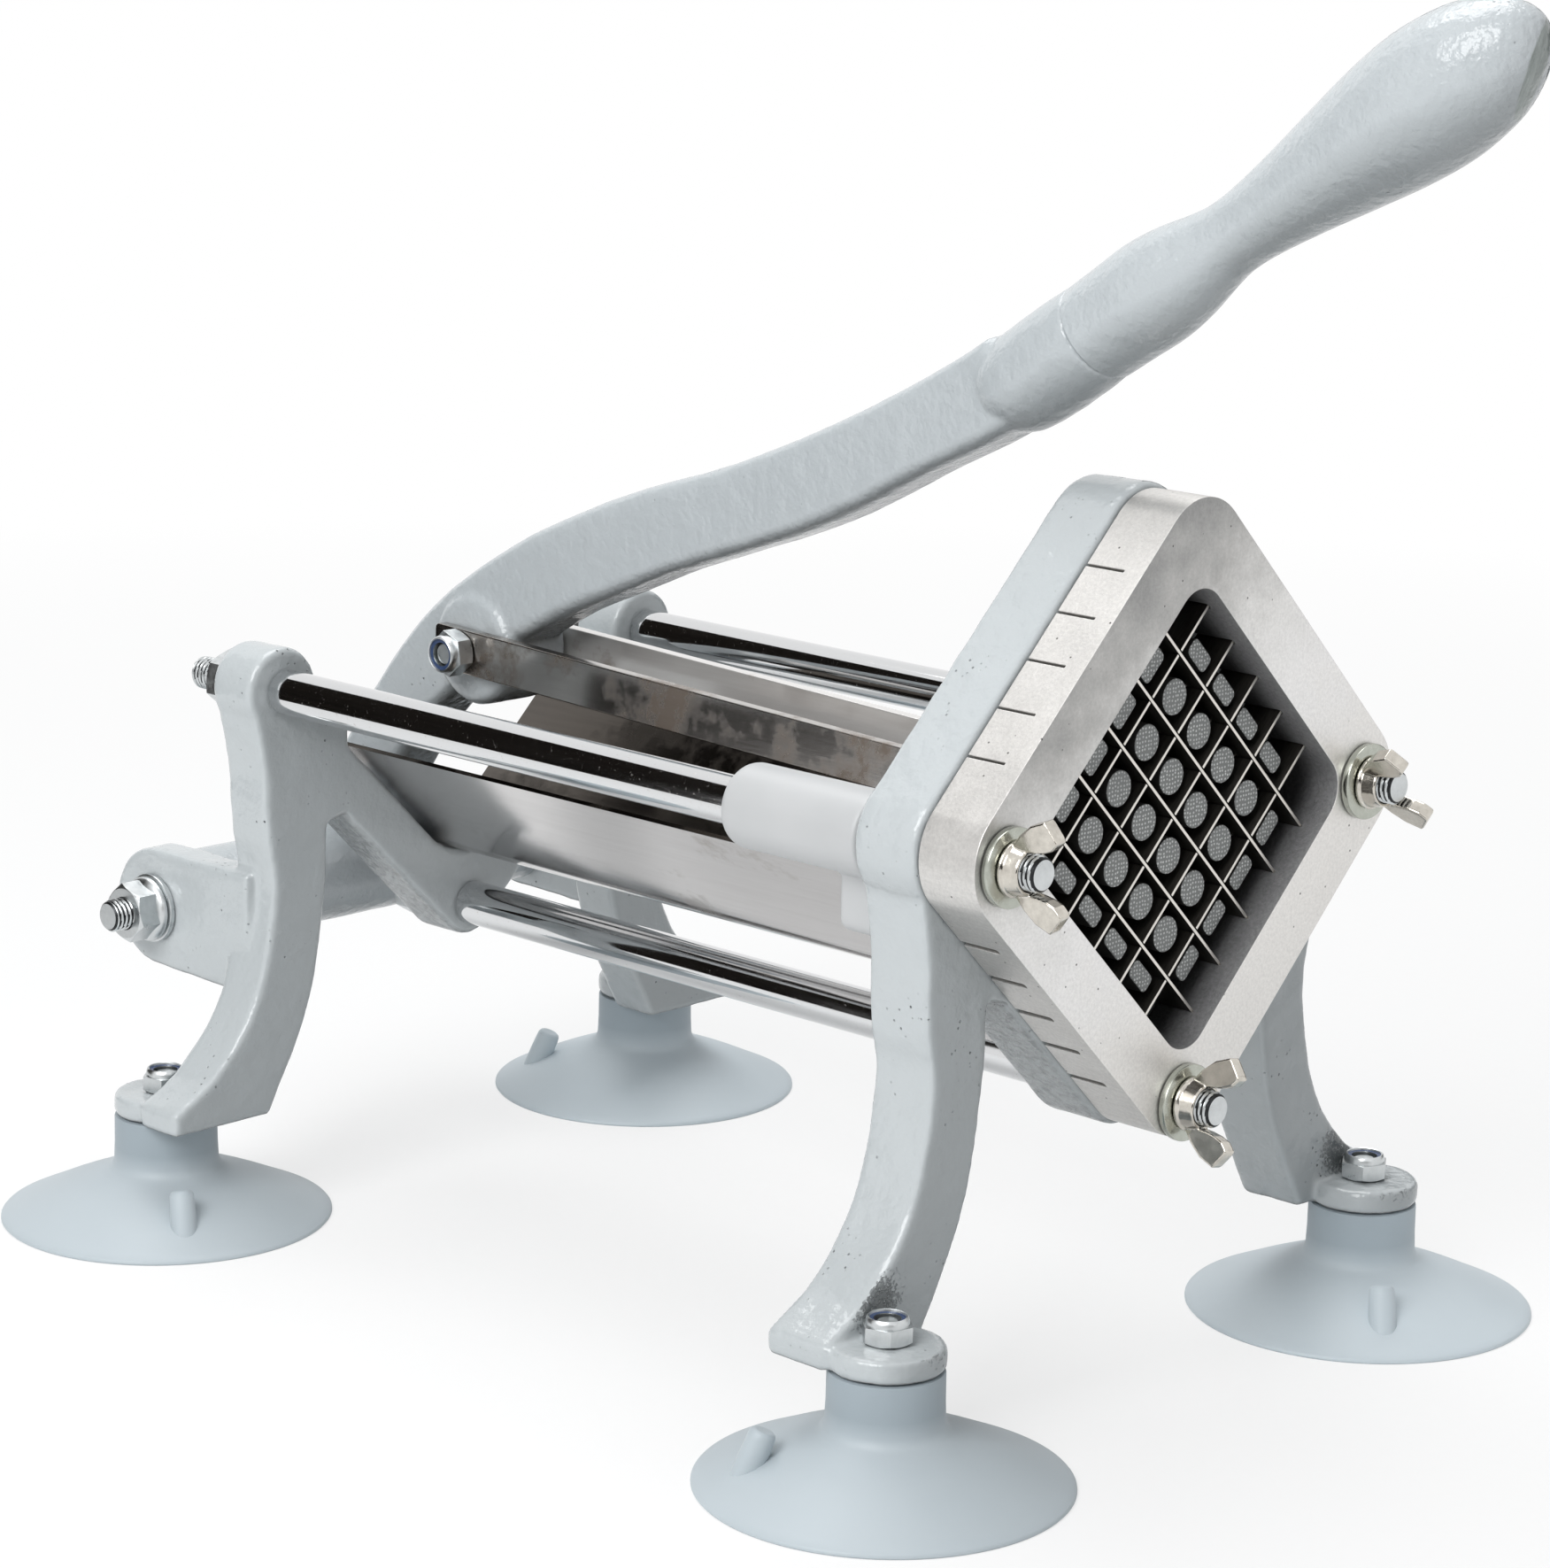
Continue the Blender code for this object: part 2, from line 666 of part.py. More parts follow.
def rod(x, z, word, rear_tip):
    """Polished rod with a threaded stud turned down at each end."""
    shoulder_front = front_plate_back + touch_gap
    shoulder_rear = rear_plate_y - touch_gap
    stud = stud_diameter / 2
    full = rod_diameter / 2
    profile = [(0, -stud_tip_front), (stud - stud_chamfer, -stud_tip_front),
               (stud, stud_chamfer - stud_tip_front), (stud, shoulder_front),
               (full - stud_chamfer / 2, shoulder_front),
               (full, shoulder_front + stud_chamfer / 2), (full, shoulder_rear), (stud, shoulder_rear),
               (stud, rear_plate_back + rear_tip - stud_chamfer),
               (stud - stud_chamfer, rear_plate_back + rear_tip), (0, rear_plate_back + rear_tip)]
    made = turned("rod_" + word, [(r, -y) for r, y in profile],
                  Matrix.Translation(place(x, 0, z)) @ turn_to("Y"), steel("rod_" + word), steps=fine_steps)
    return made


def washer(name, outer, inner, thickness, axis, centre):
    profile = [(inner, thickness / 2), (outer, thickness / 2), (outer, -thickness / 2), (inner, -thickness / 2),
               (inner, thickness / 2)]
    return turned(name, profile, Matrix.Translation(centre) @ turn_to(axis), steel(name), steps=fine_steps)


def hex_nut(name, across, height, bore_radius, axis, centre, collar=0, turn=0, outward=1):
    """Hexagon nut; a lock nut has a round collar on its outer end."""
    corner = across / math.sqrt(3)
    made = cylinder(name, corner, height - collar, axis, centre, steel(name), steps=6, turn=turn)
    if outward < 0:
        made.matrix_world = made.matrix_world @ Matrix.Rotation(math.pi, 4, "Y")
    bevel(made, height * hex_edge_share)
    if collar:
        ring = cylinder(name + "_collar", across / 2 * collar_root_share, collar * 2, axis, centre, guide=True,
                        steps=bore_steps, top=across / 2 * collar_top_share)
        ring.matrix_world = made.matrix_world @ Matrix.Translation((0, 0, (height - collar) / 2))
        join(made, ring)
    if bore_radius:
        bore(made, bore_radius, 4 * height, axis, centre, name + "_bore")
    return made


def wing_nut(name, x, z, turn):
    """Wing nut with a short coned hub and two blades that sweep forward past the stud's end."""
    seat = -(washer_thickness + 2 * touch_gap)
    stud = stud_diameter / 2 + bore_gap
    hub_top = wing_base_height + wing_hub_height
    profile = [(stud, hub_top), (wing_hub_radius * wing_hub_top_share, hub_top),
               (wing_hub_radius, wing_base_height), (wing_base_radius, wing_base_height * wing_base_edge_share),
               (wing_base_radius, 0), (stud, 0), (stud, hub_top)]
    matrix = Matrix.Translation(place(x, seat, z)) @ turn_to("Y") @ Matrix.Rotation(turn, 4, "Z")
    made = turned(name, profile, matrix, steel(name), steps=fine_steps)
    inner = wing_hub_radius * wing_root_share
    root = Vector((wing_hub_radius, wing_base_height))
    tip = Vector((wing_tip_radius, wing_tip_height))
    along = (tip - root).normalized()
    across = Vector((-along.y, along.x))
    outline = [Vector((inner, wing_base_height)), root, tip - along * wing_tip_corner,
               tip + across * wing_tip_corner,
               tip + across * (wing_tip_width - wing_tip_corner),
               tip + across * wing_tip_width - along * wing_tip_corner, Vector((inner, hub_top))]
    for side in (-1, 1):
        loop = [(side * r, h) for r, h in outline]
        wing = plate(name + "_blade_%d" % (side + 1), [loop], wing_thickness, "Z", Vector((0, 0, 0)),
                     guide=True, edge=wing_round)
        wing.matrix_world = matrix @ Matrix.Rotation(quarter, 4, "X")
        join(made, wing)
    return made


def rods_and_nuts():
    for x, z, word in rod_places():
        low = word == "low"
        rod(x, z, word, low_stud_tip_rear if low else stud_tip_rear)
        washer("front_washer_" + word, washer_radius, stud_diameter / 2 + bore_gap, washer_thickness, "Y",
               place(x, -touch_gap - washer_thickness / 2, z))
        wing_nut("wing_nut_" + word, x, z, quarter - math.radians(wing_turns[word]))
        hex_nut("rear_nut_" + word, rear_nut_across, rear_nut_height, stud_diameter / 2, "Y",
                place(x, rear_plate_back + touch_gap + rear_nut_height / 2, z))


def trough_line():
    """Right half of the trough's outer surface in section, middle to edge."""
    plane_z = trough_plane_z()
    line = arc(0, plane_z + trough_bend * root_two, trough_bend, -quarter, -eighth, bend_steps)
    return line + [(trough_half_width, plane_z + trough_half_width)]


def trough():
    """Bent stainless sheet that lies under the potato, from the front frame through the rear one."""
    start = front_plate_back + touch_gap
    end = rear_plate_back + trough_rear_proud
    right = trough_line()
    line = [(-x, z) for x, z in reversed(right[1:])] + right
    mesh = bpy.data.meshes.new("trough")
    sheet = bmesh.new()
    points = [sheet.verts.new(place(x, start, z)) for x, z in line]
    edges = [sheet.edges.new(pair) for pair in zip(points, points[1:])]
    swept = bmesh.ops.extrude_edge_only(sheet, edges=edges)
    moved = [item for item in swept["geom"] if isinstance(item, bmesh.types.BMVert)]
    bmesh.ops.translate(sheet, verts=moved, vec=(0, end - start, 0))
    bmesh.ops.recalc_face_normals(sheet, faces=sheet.faces)
    for face in sheet.faces:
        if face.normal.z < 0:
            face.normal_flip()
    sheet.to_mesh(mesh)
    sheet.free()
    made = add_object("trough", mesh, material("trough_sheet", (0.62, 0.61, 0.60), 0.3, 1))
    wall = made.modifiers.new("sheet", "SOLIDIFY")
    wall.thickness = trough_sheet
    wall.offset = 1
    wall.use_even_offset = True
    smooth_round(made)
    return made


def carriage_outline():
    """Right half of the sliding plate, bottom to top: it fills the trough and clears its edges."""
    inset = (opening_side - push_side) / 2
    plane_z = centre_height - push_side / root_two
    edge_x = trough_half_width
    edge_z = trough_plane_z() + edge_x
    inner_x = edge_x - wing_slot_in
    over_z = edge_z + trough_sheet + wing_slot_over
    outer_x = edge_x + wing_slot_out
    lobe_bottom_z = centre_height - lobe_drop
    points = arc(0, plane_z + push_corner * root_two, push_corner, -quarter, -eighth, 4)
    points += [(inner_x, plane_z + inner_x), (inner_x, over_z), (outer_x, over_z), (outer_x, lobe_bottom_z)]
    points += arc(lobe_outer_x - lobe_round, lobe_bottom_z + lobe_round, lobe_round, -quarter, 0, 3)
    points += [(lobe_outer_x, centre_height)]
    top_reach = push_side / root_two - inset
    points += [(top_reach, centre_height + 2 * inset)]
    points += arc(0, centre_height + top_reach - push_corner * root_two, push_corner, eighth, quarter, 4)
    return mirrored(points)


def pusher_carriage():
    """Cast slide: a plate behind the fingers, two guide sleeves and the lug for the links."""
    middle = carriage_y + carriage_depth / 2
    made = plate("pusher_carriage", [carriage_outline()], carriage_depth, "Y", place(0, middle, 0),
                 material("pusher_carriage_cast", (0.74, 0.75, 0.76), 0.4, 0), edge=cast_round / 2)
    for side, word in ((-1, "left"), (1, "right")):
        centre = place(side * rod_side_offset, carriage_y + sleeve_length / 2, centre_height)
        sleeve = cylinder("sleeve_" + word, sleeve_radius, sleeve_length, "Y", centre, guide=True,
                          steps=hub_steps)
        bevel(sleeve, cast_round / 2)
        join(made, sleeve)
    lug_front = carriage_y + carriage_depth / 2
    loop = [(lug_front, centre_height - lug_radius)]
    loop += arc(link_front_y, centre_height, lug_radius, -quarter, quarter, 10)
    loop += [(lug_front, centre_height + lug_radius)]
    lug = plate("lug", [[(y - middle_y, z) for y, z in loop]], 2 * lug_half_width, "X", Vector((0, 0, 0)),
                guide=True, edge=cast_round / 2)
    join(made, lug)
    for side, word in ((-1, "left"), (1, "right")):
        sleeve_middle = place(side * rod_side_offset, carriage_y + sleeve_length / 2, centre_height)
        bore(made, rod_diameter / 2, 2 * sleeve_length, "Y", sleeve_middle, "sleeve_bore_" + word)
        screw_middle = place(side * block_screw_x, middle, centre_height)
        bore(made, block_screw_radius, 2 * carriage_depth, "Y", screw_middle, "block_screw_bore_" + word)
    bore(made, link_bolt_radius, 3 * lug_half_width, "X", place(0, link_front_y, centre_height), "lug_bore")
    smooth_round(made)
    return made


def finger_group(name, length):
    """All the fingers as one group of separate solids, in the block's turned axes."""
    mesh = bpy.data.meshes.new(name)
    body = bmesh.new()
    half = cell_count / 2
    for i in range(cell_count):
        for j in range(cell_count):
            a = (i + 0.5 - half) * finger_pitch
            b = (j + 0.5 - half) * finger_pitch
            edge_a = i in (0, cell_count - 1)
            edge_b = j in (0, cell_count - 1)
            if edge_a and edge_b:
                continue
            if not edge_a and not edge_b:
                bmesh.ops.create_cone(body, cap_ends=True, segments=finger_steps, radius1=finger_radius,
                                      radius2=finger_radius, depth=length, matrix=Matrix.Translation((a, b, 0)))
                continue
            wide = edge_finger_width if edge_a else 2 * finger_radius
            tall = edge_finger_width if edge_b else 2 * finger_radius
            at_a = math.copysign(edge_finger_offset, a) if edge_a else a
            at_b = math.copysign(edge_finger_offset, b) if edge_b else b
            made = bmesh.ops.create_cube(body, size=1, matrix=Matrix.Translation((at_a, at_b, 0))
                                         @ Matrix.Diagonal((wide, tall, length, 1)))
            upright = [edge for edge in {e for v in made["verts"] for e in v.link_edges}
                       if abs(edge.verts[0].co.z - edge.verts[1].co.z) > length / 2]
            bmesh.ops.bevel(body, geom=upright, offset=edge_finger_corner, segments=2, affect="EDGES",
                            profile=0.5)
    body.to_mesh(mesh)
    body.free()
    return add_object(name, mesh, guide=True)


def pusher_block():
    """Finger block: a square base on its corner with a finger for each cell of the grid."""
    base_back = carriage_y - touch_gap
    base_front = base_back - push_base_depth
    look = material("pusher_block_cast", (0.34, 0.35, 0.36), 0.55, 0)
    made = plate("pusher_block", [diamond(push_side, push_corner, centre_height, 5)], push_base_depth, "Y",
                 place(0, (base_front + base_back) / 2, 0), look, edge=cast_round / 3)
    length = base_front - finger_tip_inset + cut_overrun
    fingers = finger_group("fingers", length)
    fingers.matrix_world = (Matrix.Translation(place(0, finger_tip_inset + length / 2, centre_height))
                            @ Matrix.Rotation(eighth, 4, "Y") @ turn_to("Y"))
    join(made, fingers)
    for side, word in ((-1, "left"), (1, "right")):
        bore(made, block_screw_radius, 2 * block_screw_bite, "Y",
             place(side * block_screw_x, base_back, centre_height), "block_thread_" + word)
    smooth_round(made)
    return made


def block_screw(side, word):
    """Cap screw that holds the finger block on the carriage."""
    seat = carriage_y + carriage_depth + touch_gap
    tip = carriage_y - block_screw_bite + touch_gap
    head_end = seat + block_screw_head_height
    drive = head_end - screw_drive_depth
    profile = [(0, tip), (block_screw_radius, tip), (block_screw_radius, seat), (block_screw_head, seat),
               (block_screw_head, head_end), (screw_drive_radius, head_end), (screw_drive_radius, drive),
               (0, drive)]
    return turned("block_screw_" + word, [(r, -y) for r, y in profile],
                  Matrix.Translation(place(side * block_screw_x, 0, centre_height)) @ turn_to("Y"),
                  steel("block_screw_" + word), steps=fine_steps)


def lug_pin():
    """Middle of the front link bolt, in the carriage's lug."""
    return cylinder("lug_pin", link_bolt_radius, 2 * lug_half_width, "X", place(0, link_front_y, centre_height),
                    steel("lug_pin"))


def pusher():
    made = [pusher_carriage(), pusher_block(), lug_pin()]
    made += [block_screw(-1, "left"), block_screw(1, "right")]
    carry(made, "pusher_slide", place(0, carriage_y, centre_height))


def arm_outline():
    """Side view of the lever's arm: a smooth middle line with its height on each side."""
    points = [(pivot_y - back * seam_reach, pivot_height + up * seam_rise, tall * arm_half_height)
              for back, up, tall in arm_line_shares]
    line = smooth_line(points, 2)
    upper = []
    lower = []
    for i, (y, z, tall) in enumerate(line):
        before = line[max(i - 1, 0)]
        after = line[min(i + 1, len(line) - 1)]
        along = Vector((after[0] - before[0], after[1] - before[1])).normalized()
        upper.append((y + along.y * tall - middle_y, z - along.x * tall))
        lower.append((y - along.y * tall - middle_y, z + along.x * tall))
    return upper + list(reversed(lower))


def grip_frame(along):
    """Frame on the grip's axis, Z towards the grip's end, at a distance from the seam."""
    out = Vector((0, -math.cos(grip_slope), math.sin(grip_slope)))
    start = place(0, seam_y, seam_z) + out * along
    return Matrix.Translation(start) @ Matrix.Rotation(quarter - grip_slope, 4, "X")


def lever():
    """Cast lever: a long pivot hub, a curved flat arm with link bosses, and a round neck."""
    made = plate("lever", [arm_outline()], 2 * arm_half_width, "X", Vector((0, 0, 0)), paint("lever"),
                 edge=arm_round)
    hub = cylinder("lever_hub", hub_radius, 2 * (ear_inner_x - touch_gap), "X", place(0, pivot_y, pivot_height),
                   guide=True, steps=hub_steps)
    bevel(hub, boss_round)
    join(made, hub)
    boss = cylinder("crank_boss", crank_boss_radius, 2 * crank_boss_half_width, "X", place(0, crank_y, crank_z),
                    guide=True, steps=hub_steps)
    bevel(boss, boss_round)
    join(made, boss)
    profile = [(0, spigot_length), (spigot_radius - stud_chamfer, spigot_length),
               (spigot_radius, spigot_length - stud_chamfer), (spigot_radius, 0), (neck_radius, 0),
               (neck_radius + neck_swell, -neck_length * neck_swell_shares[0]),
               (neck_radius + neck_swell, -neck_length * neck_swell_shares[1])]
    profile += [(neck_radius * across, -neck_length * back) for across, back in neck_shares]
    join(made, turned("lever_neck", profile, grip_frame(0), guide=True, steps=hub_steps))
    bore(made, stud_diameter / 2, 3 * ear_inner_x, "X", place(0, pivot_y, pivot_height), "hub_bore")
    bore(made, link_bolt_radius, 3 * crank_boss_half_width, "X", place(0, crank_y, crank_z), "crank_bore")
    smooth_round(made)
    return made


def handle_grip():
    """Pear-shaped grip with a collar, screwed onto the lever's spigot."""
    hole = spigot_radius + bore_gap
    profile = [(0, grip_length)]
    profile += [(across * grip_radius, along * grip_length) for along, across in grip_shares]
    profile += [(neck_radius, touch_gap), (hole, touch_gap), (hole, spigot_length + touch_gap),
                (0, spigot_length + touch_gap)]
    return turned("handle_grip", profile, grip_frame(0), paint("handle_grip"), steps=hub_steps)


def pivot_bolt():
    """Long bolt through both ears and the lever's hub, its head on the right."""
    ear_out = ear_inner_x + ear_thickness
    radius = stud_diameter / 2
    corner = flange_nut_across / math.sqrt(3)
    seat = ear_out + touch_gap
    tip = -(ear_out + pivot_tip_out)
    profile = [(0, seat), (radius, seat), (radius, tip + stud_chamfer), (radius - stud_chamfer, tip), (0, tip)]
    made = turned("pivot_bolt", profile, Matrix.Translation(place(0, pivot_y, pivot_height)) @ turn_to("X"),
                  steel("pivot_bolt"), steps=fine_steps)
    head = cylinder("pivot_bolt_head", corner, pivot_head_height, "X",
                    place(seat + pivot_head_height / 2, pivot_y, pivot_height), guide=True, steps=6)
    bevel(head, pivot_head_height * hex_edge_share)
    flange = cylinder("pivot_bolt_flange", flange_radius, flange_height, "X",
                      place(seat + flange_height / 2, pivot_y, pivot_height), guide=True, steps=fine_steps)
    join(made, flange)
    join(made, head)
    return made


def pivot_nut():
    """Flange nut on the left end of the pivot bolt."""
    seat = ear_inner_x + ear_thickness + pivot_washer_thickness + 2 * touch_gap
    centre = place(-(seat + flange_nut_height / 2), pivot_y, pivot_height)
    made = cylinder("pivot_nut", flange_nut_across / math.sqrt(3), flange_nut_height, "X", centre,
                    steel("pivot_nut"), steps=6, turn=math.radians(12))
    bevel(made, flange_nut_height * hex_edge_share)
    flange = cylinder("pivot_nut_flange", flange_radius, flange_height, "X",
                      place(-(seat + flange_height / 2), pivot_y, pivot_height), guide=True, steps=fine_steps)
    join(made, flange)
    bore(made, stud_diameter / 2, 4 * flange_nut_height, "X", centre, "pivot_nut_bore")
    return made


def pivot():
    pivot_bolt()
    washer_x = -(ear_inner_x + ear_thickness + touch_gap + pivot_washer_thickness / 2)
    washer("pivot_washer", pivot_washer_radius, stud_diameter / 2 + bore_gap, pivot_washer_thickness, "X",
           place(washer_x, pivot_y, pivot_height))
    pivot_nut()


def link_frame():
    """Frame at the rear link bolt with X forward along the link and Z across the machine."""
    run = crank_y - link_front_y
    drop = crank_z - centre_height
    slope = math.atan2(drop, run)
    return math.hypot(run, drop), slope


def link(name, side):
    """Flat steel bar from the lever's boss to the carriage's lug."""
    length, slope = link_frame()
    half = link_height / 2
    loop = []
    for cx, cy, start in ((link_end - link_corner, half - link_corner, 0),
                          (link_corner - length - link_end, half - link_corner, quarter),
                          (link_corner - length - link_end, link_corner - half, 2 * quarter),
                          (link_end - link_corner, link_corner - half, 3 * quarter)):
        loop += arc(cx, cy, link_corner, start, start + quarter, 2)
    holes = [circle(0, 0, link_bolt_radius + bore_gap), circle(-length, 0, link_bolt_radius + bore_gap)]
    made = plate(name, [loop] + holes, link_thickness, "X", Vector((0, 0, 0)), steel(name))
    middle = crank_boss_half_width + touch_gap + link_thickness / 2
    made.matrix_world = (Matrix.Translation(place(side * middle, crank_y, crank_z))
                         @ Matrix.Rotation(slope, 4, "X") @ turn_to("X"))
    return made


def link_bolt():
    """Bolt through both links and the lever's boss, its head on the right."""
    outside = crank_boss_half_width + 2 * touch_gap + link_thickness
    tip = -outside - link_nut_height * link_tip_share
    profile = [(0, outside), (link_bolt_radius, outside), (link_bolt_radius, tip), (0, tip)]
    made = turned("link_bolt", profile, Matrix.Translation(place(0, crank_y, crank_z)) @ turn_to("X"),
                  steel("link_bolt"), steps=bore_steps)
    head = cylinder("link_bolt_head", link_nut_across / math.sqrt(3), link_head_height, "X",
                    place(outside + link_head_height / 2, crank_y, crank_z), guide=True, steps=6)
    bevel(head, link_head_height * hex_edge_share)
    join(made, head)
    return made


def front_stub(name, side):
    """Outer end of the front link bolt: a short stub through one link, with its head or nut."""
    inner = lug_half_width + touch_gap
    outside = inner + link_thickness + touch_gap
    corner = link_nut_across / math.sqrt(3)
    made = cylinder(name, corner, link_head_height, "X",
                    place(side * (outside + link_head_height / 2), link_front_y, centre_height),
                    steel(name), steps=6)
    bevel(made, link_head_height * hex_edge_share)
    reach = outside - inner + link_head_height / 2
    stub = cylinder(name + "_stub", link_bolt_radius, reach, "X",
                    place(side * (inner + reach / 2), link_front_y, centre_height), guide=True)
    join(made, stub)
    return made


def links():
    outside = crank_boss_half_width + 2 * touch_gap + link_thickness
    nut_middle = -(outside + (link_nut_height - link_nut_collar) / 2)
    nut = hex_nut("link_nut", link_nut_across, link_nut_height, link_bolt_radius, "X",
                  place(nut_middle, crank_y, crank_z), collar=link_nut_collar, outward=-1)
    made = [link("link_left", -1), link("link_right", 1), link_bolt(), nut,
            front_stub("link_head_front", 1), front_stub("link_nut_front", -1)]
    carry(made, "link_swing", place(0, crank_y, crank_z))


def cup_profile():
    """Section of a cup: neck, dome, thin rim and hollow underside, with a blind stud hole."""
    hole = cup_stud_radius + bore_gap
    hole_z = cup_top_z - cup_stud_depth - touch_gap
    neck_round = cast_round / 2
    drop = cup_neck_foot_z - cup_rim_height
    span = cup_radius - cup_neck_radius
    profile = [(0, hole_z), (hole, hole_z), (hole, cup_top_z), (cup_neck_radius - neck_round, cup_top_z),
               (cup_neck_radius, cup_top_z - neck_round), (cup_neck_radius, cup_neck_foot_z)]
    skin = [(cup_neck_radius + out * span, cup_rim_height + up * drop) for out, up in cup_skin_shares]
    profile += skin + [(cup_radius, cup_rim_height), (cup_radius, 0), (cup_radius - cup_rim_width, 0)]
    inward = (1 - cup_hollow_share) * cup_radius - cup_rim_width
    hollow = [(r * cup_hollow_share + inward, max(z - cup_wall, cup_rim_height / 2))
              for r, z in reversed(skin[1:-1])]
    profile += hollow + [(0, hollow[-1][1])]
    return profile


def suction_cup(word, side, foot_y):
    """Rubber cup with a release tab on its dome."""
    centre = place(side * foot_x, foot_y, 0)
    made = turned("suction_cup_" + word, cup_profile(), Matrix.Translation(centre), rubber("cup_" + word))
    heading = math.radians(tab_turns[word])
    out = Vector((math.cos(heading), math.sin(heading), 0))
    dome_z = cup_rim_height + (cup_neck_foot_z - cup_rim_height) * (cup_radius - tab_place) / (
        cup_radius - cup_neck_radius)
    tab = cylinder("tab_" + word, tab_radius, tab_height + tab_sink, "Z", Vector((0, 0, 0)), guide=True,
                   steps=bore_steps, top=tab_radius * tab_top_share)
    bevel(tab, tab_radius * tab_edge_share)
    lean = Matrix.Rotation(heading, 4, "Z") @ Matrix.Rotation(tab_lean, 4, "Y")
    tab.matrix_world = (Matrix.Translation(centre + out * tab_place + Vector((0, 0, dome_z))) @ lean
                        @ Matrix.Translation((0, 0, (tab_height - tab_sink) / 2)))
    join(made, tab)
    return made


def foot(word, side, foot_y):
    """Cup, its stud through the pad, and the lock nut on top."""
    suction_cup(word, side, foot_y)
    bottom = cup_top_z - cup_stud_depth
    top = pad_top_z + touch_gap + foot_nut_height * foot_stud_share
    centre = place(side * foot_x, foot_y, (top + bottom) / 2)
    cylinder("cup_stud_" + word, cup_stud_radius, top - bottom, "Z", centre, steel("cup_stud_" + word))
    collar = foot_nut_height * foot_collar_share
    middle = pad_top_z + touch_gap + (foot_nut_height - collar) / 2
    hex_nut("foot_nut_" + word, foot_nut_across, foot_nut_height, cup_stud_radius, "Z",
            place(side * foot_x, foot_y, middle), collar=collar, turn=math.radians(20))


def feet():
    for row, foot_y in (("front", front_foot_y), ("rear", rear_foot_y)):
        for side, word in ((-1, "left"), (1, "right")):
            foot(row + "_" + word, side, foot_y)


clear_scene()
parts = new_collection("french_fry_cutter")
guides = new_collection("cutters_and_guides")
front_frame()
rear_frame()
blade_block()
blades()
rods_and_nuts()
trough()
pusher()
carry([lever(), handle_grip()], "lever_swing", place(0, pivot_y, pivot_height))
pivot()
links()
feet()
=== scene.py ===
import math

import bpy
from mathutils import Matrix, Vector


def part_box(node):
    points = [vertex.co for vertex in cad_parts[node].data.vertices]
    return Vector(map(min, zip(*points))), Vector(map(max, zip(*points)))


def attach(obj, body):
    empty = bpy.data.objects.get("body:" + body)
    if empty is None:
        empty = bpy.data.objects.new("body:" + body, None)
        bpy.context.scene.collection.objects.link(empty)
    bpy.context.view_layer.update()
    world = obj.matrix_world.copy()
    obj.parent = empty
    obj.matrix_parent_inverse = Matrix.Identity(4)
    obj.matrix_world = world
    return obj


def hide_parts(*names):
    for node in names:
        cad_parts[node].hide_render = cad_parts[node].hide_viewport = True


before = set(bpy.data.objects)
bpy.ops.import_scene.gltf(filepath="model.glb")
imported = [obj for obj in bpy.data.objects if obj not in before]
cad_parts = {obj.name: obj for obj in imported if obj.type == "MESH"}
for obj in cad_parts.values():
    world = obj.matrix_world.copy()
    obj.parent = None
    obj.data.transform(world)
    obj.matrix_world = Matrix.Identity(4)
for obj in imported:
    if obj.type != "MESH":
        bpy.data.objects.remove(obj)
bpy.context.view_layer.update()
mm = 0.001
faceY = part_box("blade_block")[0].y    # the front face of the blade block, where y is counted from
middleZ = 131.5                       # height of the grid's centre and of the two side rods
rodX = 60.0
lowRodZ = middleZ - 62.4
rodHole = 4.3                         # radius that clears the M8 studs and the pivot bolt
boltHole = 3.3                        # and the M6 ones
rodSpots = (("left", -rodX, middleZ), ("right", rodX, middleZ), ("low", 0, lowRodZ))
footSpots = (("front_left", -81.6, 10.4), ("front_right", 81.6, 10.4),
             ("rear_left", -81.6, 252.4), ("rear_right", 81.6, 252.4))


def at(x, y, z):
    return Vector((x * mm, faceY + y * mm, z * mm))


# Selecting, shaping and finishing

def deselectAll():
    if bpy.context.object and bpy.context.object.mode != "OBJECT":
        bpy.ops.object.mode_set(mode="OBJECT")
    bpy.ops.object.select_all(action="DESELECT")


def pick(*pieces):
    deselectAll()
    for piece in pieces:
        piece.select_set(True)
    bpy.context.view_layer.objects.active = pieces[0]


def named(name):
    piece = bpy.context.object
    piece.name = name
    piece.data.name = name
    return piece


def settle(piece):
    pick(piece)
    bpy.ops.object.transform_apply(location=True, rotation=True, scale=True)
    return piece


def put(piece, matrix):
    piece.matrix_world = matrix
    return settle(piece)


def discard(piece):
    bpy.data.objects.remove(piece, do_unlink=True)


def modify(piece, kind, **settings):
    pick(piece)
    added = piece.modifiers.new(kind.lower(), kind)
    for key, value in settings.items():
        setattr(added, key, value)
    bpy.ops.object.modifier_apply(modifier=added.name)
    return piece


def joined(name, *pieces):
    pick(*pieces)
    if len(pieces) > 1:
        bpy.ops.object.join()
    return named(name)


def copied(piece, name, matrix=None):
    pick(piece)
    bpy.ops.object.duplicate(linked=False)
    twin = named(name)
    if matrix is not None:
        put(twin, matrix)
    return twin


def cutWith(piece, *cutters, operation="DIFFERENCE"):
    tool = joined("cutter", *cutters)
    modify(piece, "BOOLEAN", operation=operation, solver="EXACT", object=tool)
    discard(tool)
    return piece


def smoothed(piece, angle=35):
    pick(piece)
    bpy.ops.object.shade_smooth_by_angle(angle=math.radians(angle))
    return piece


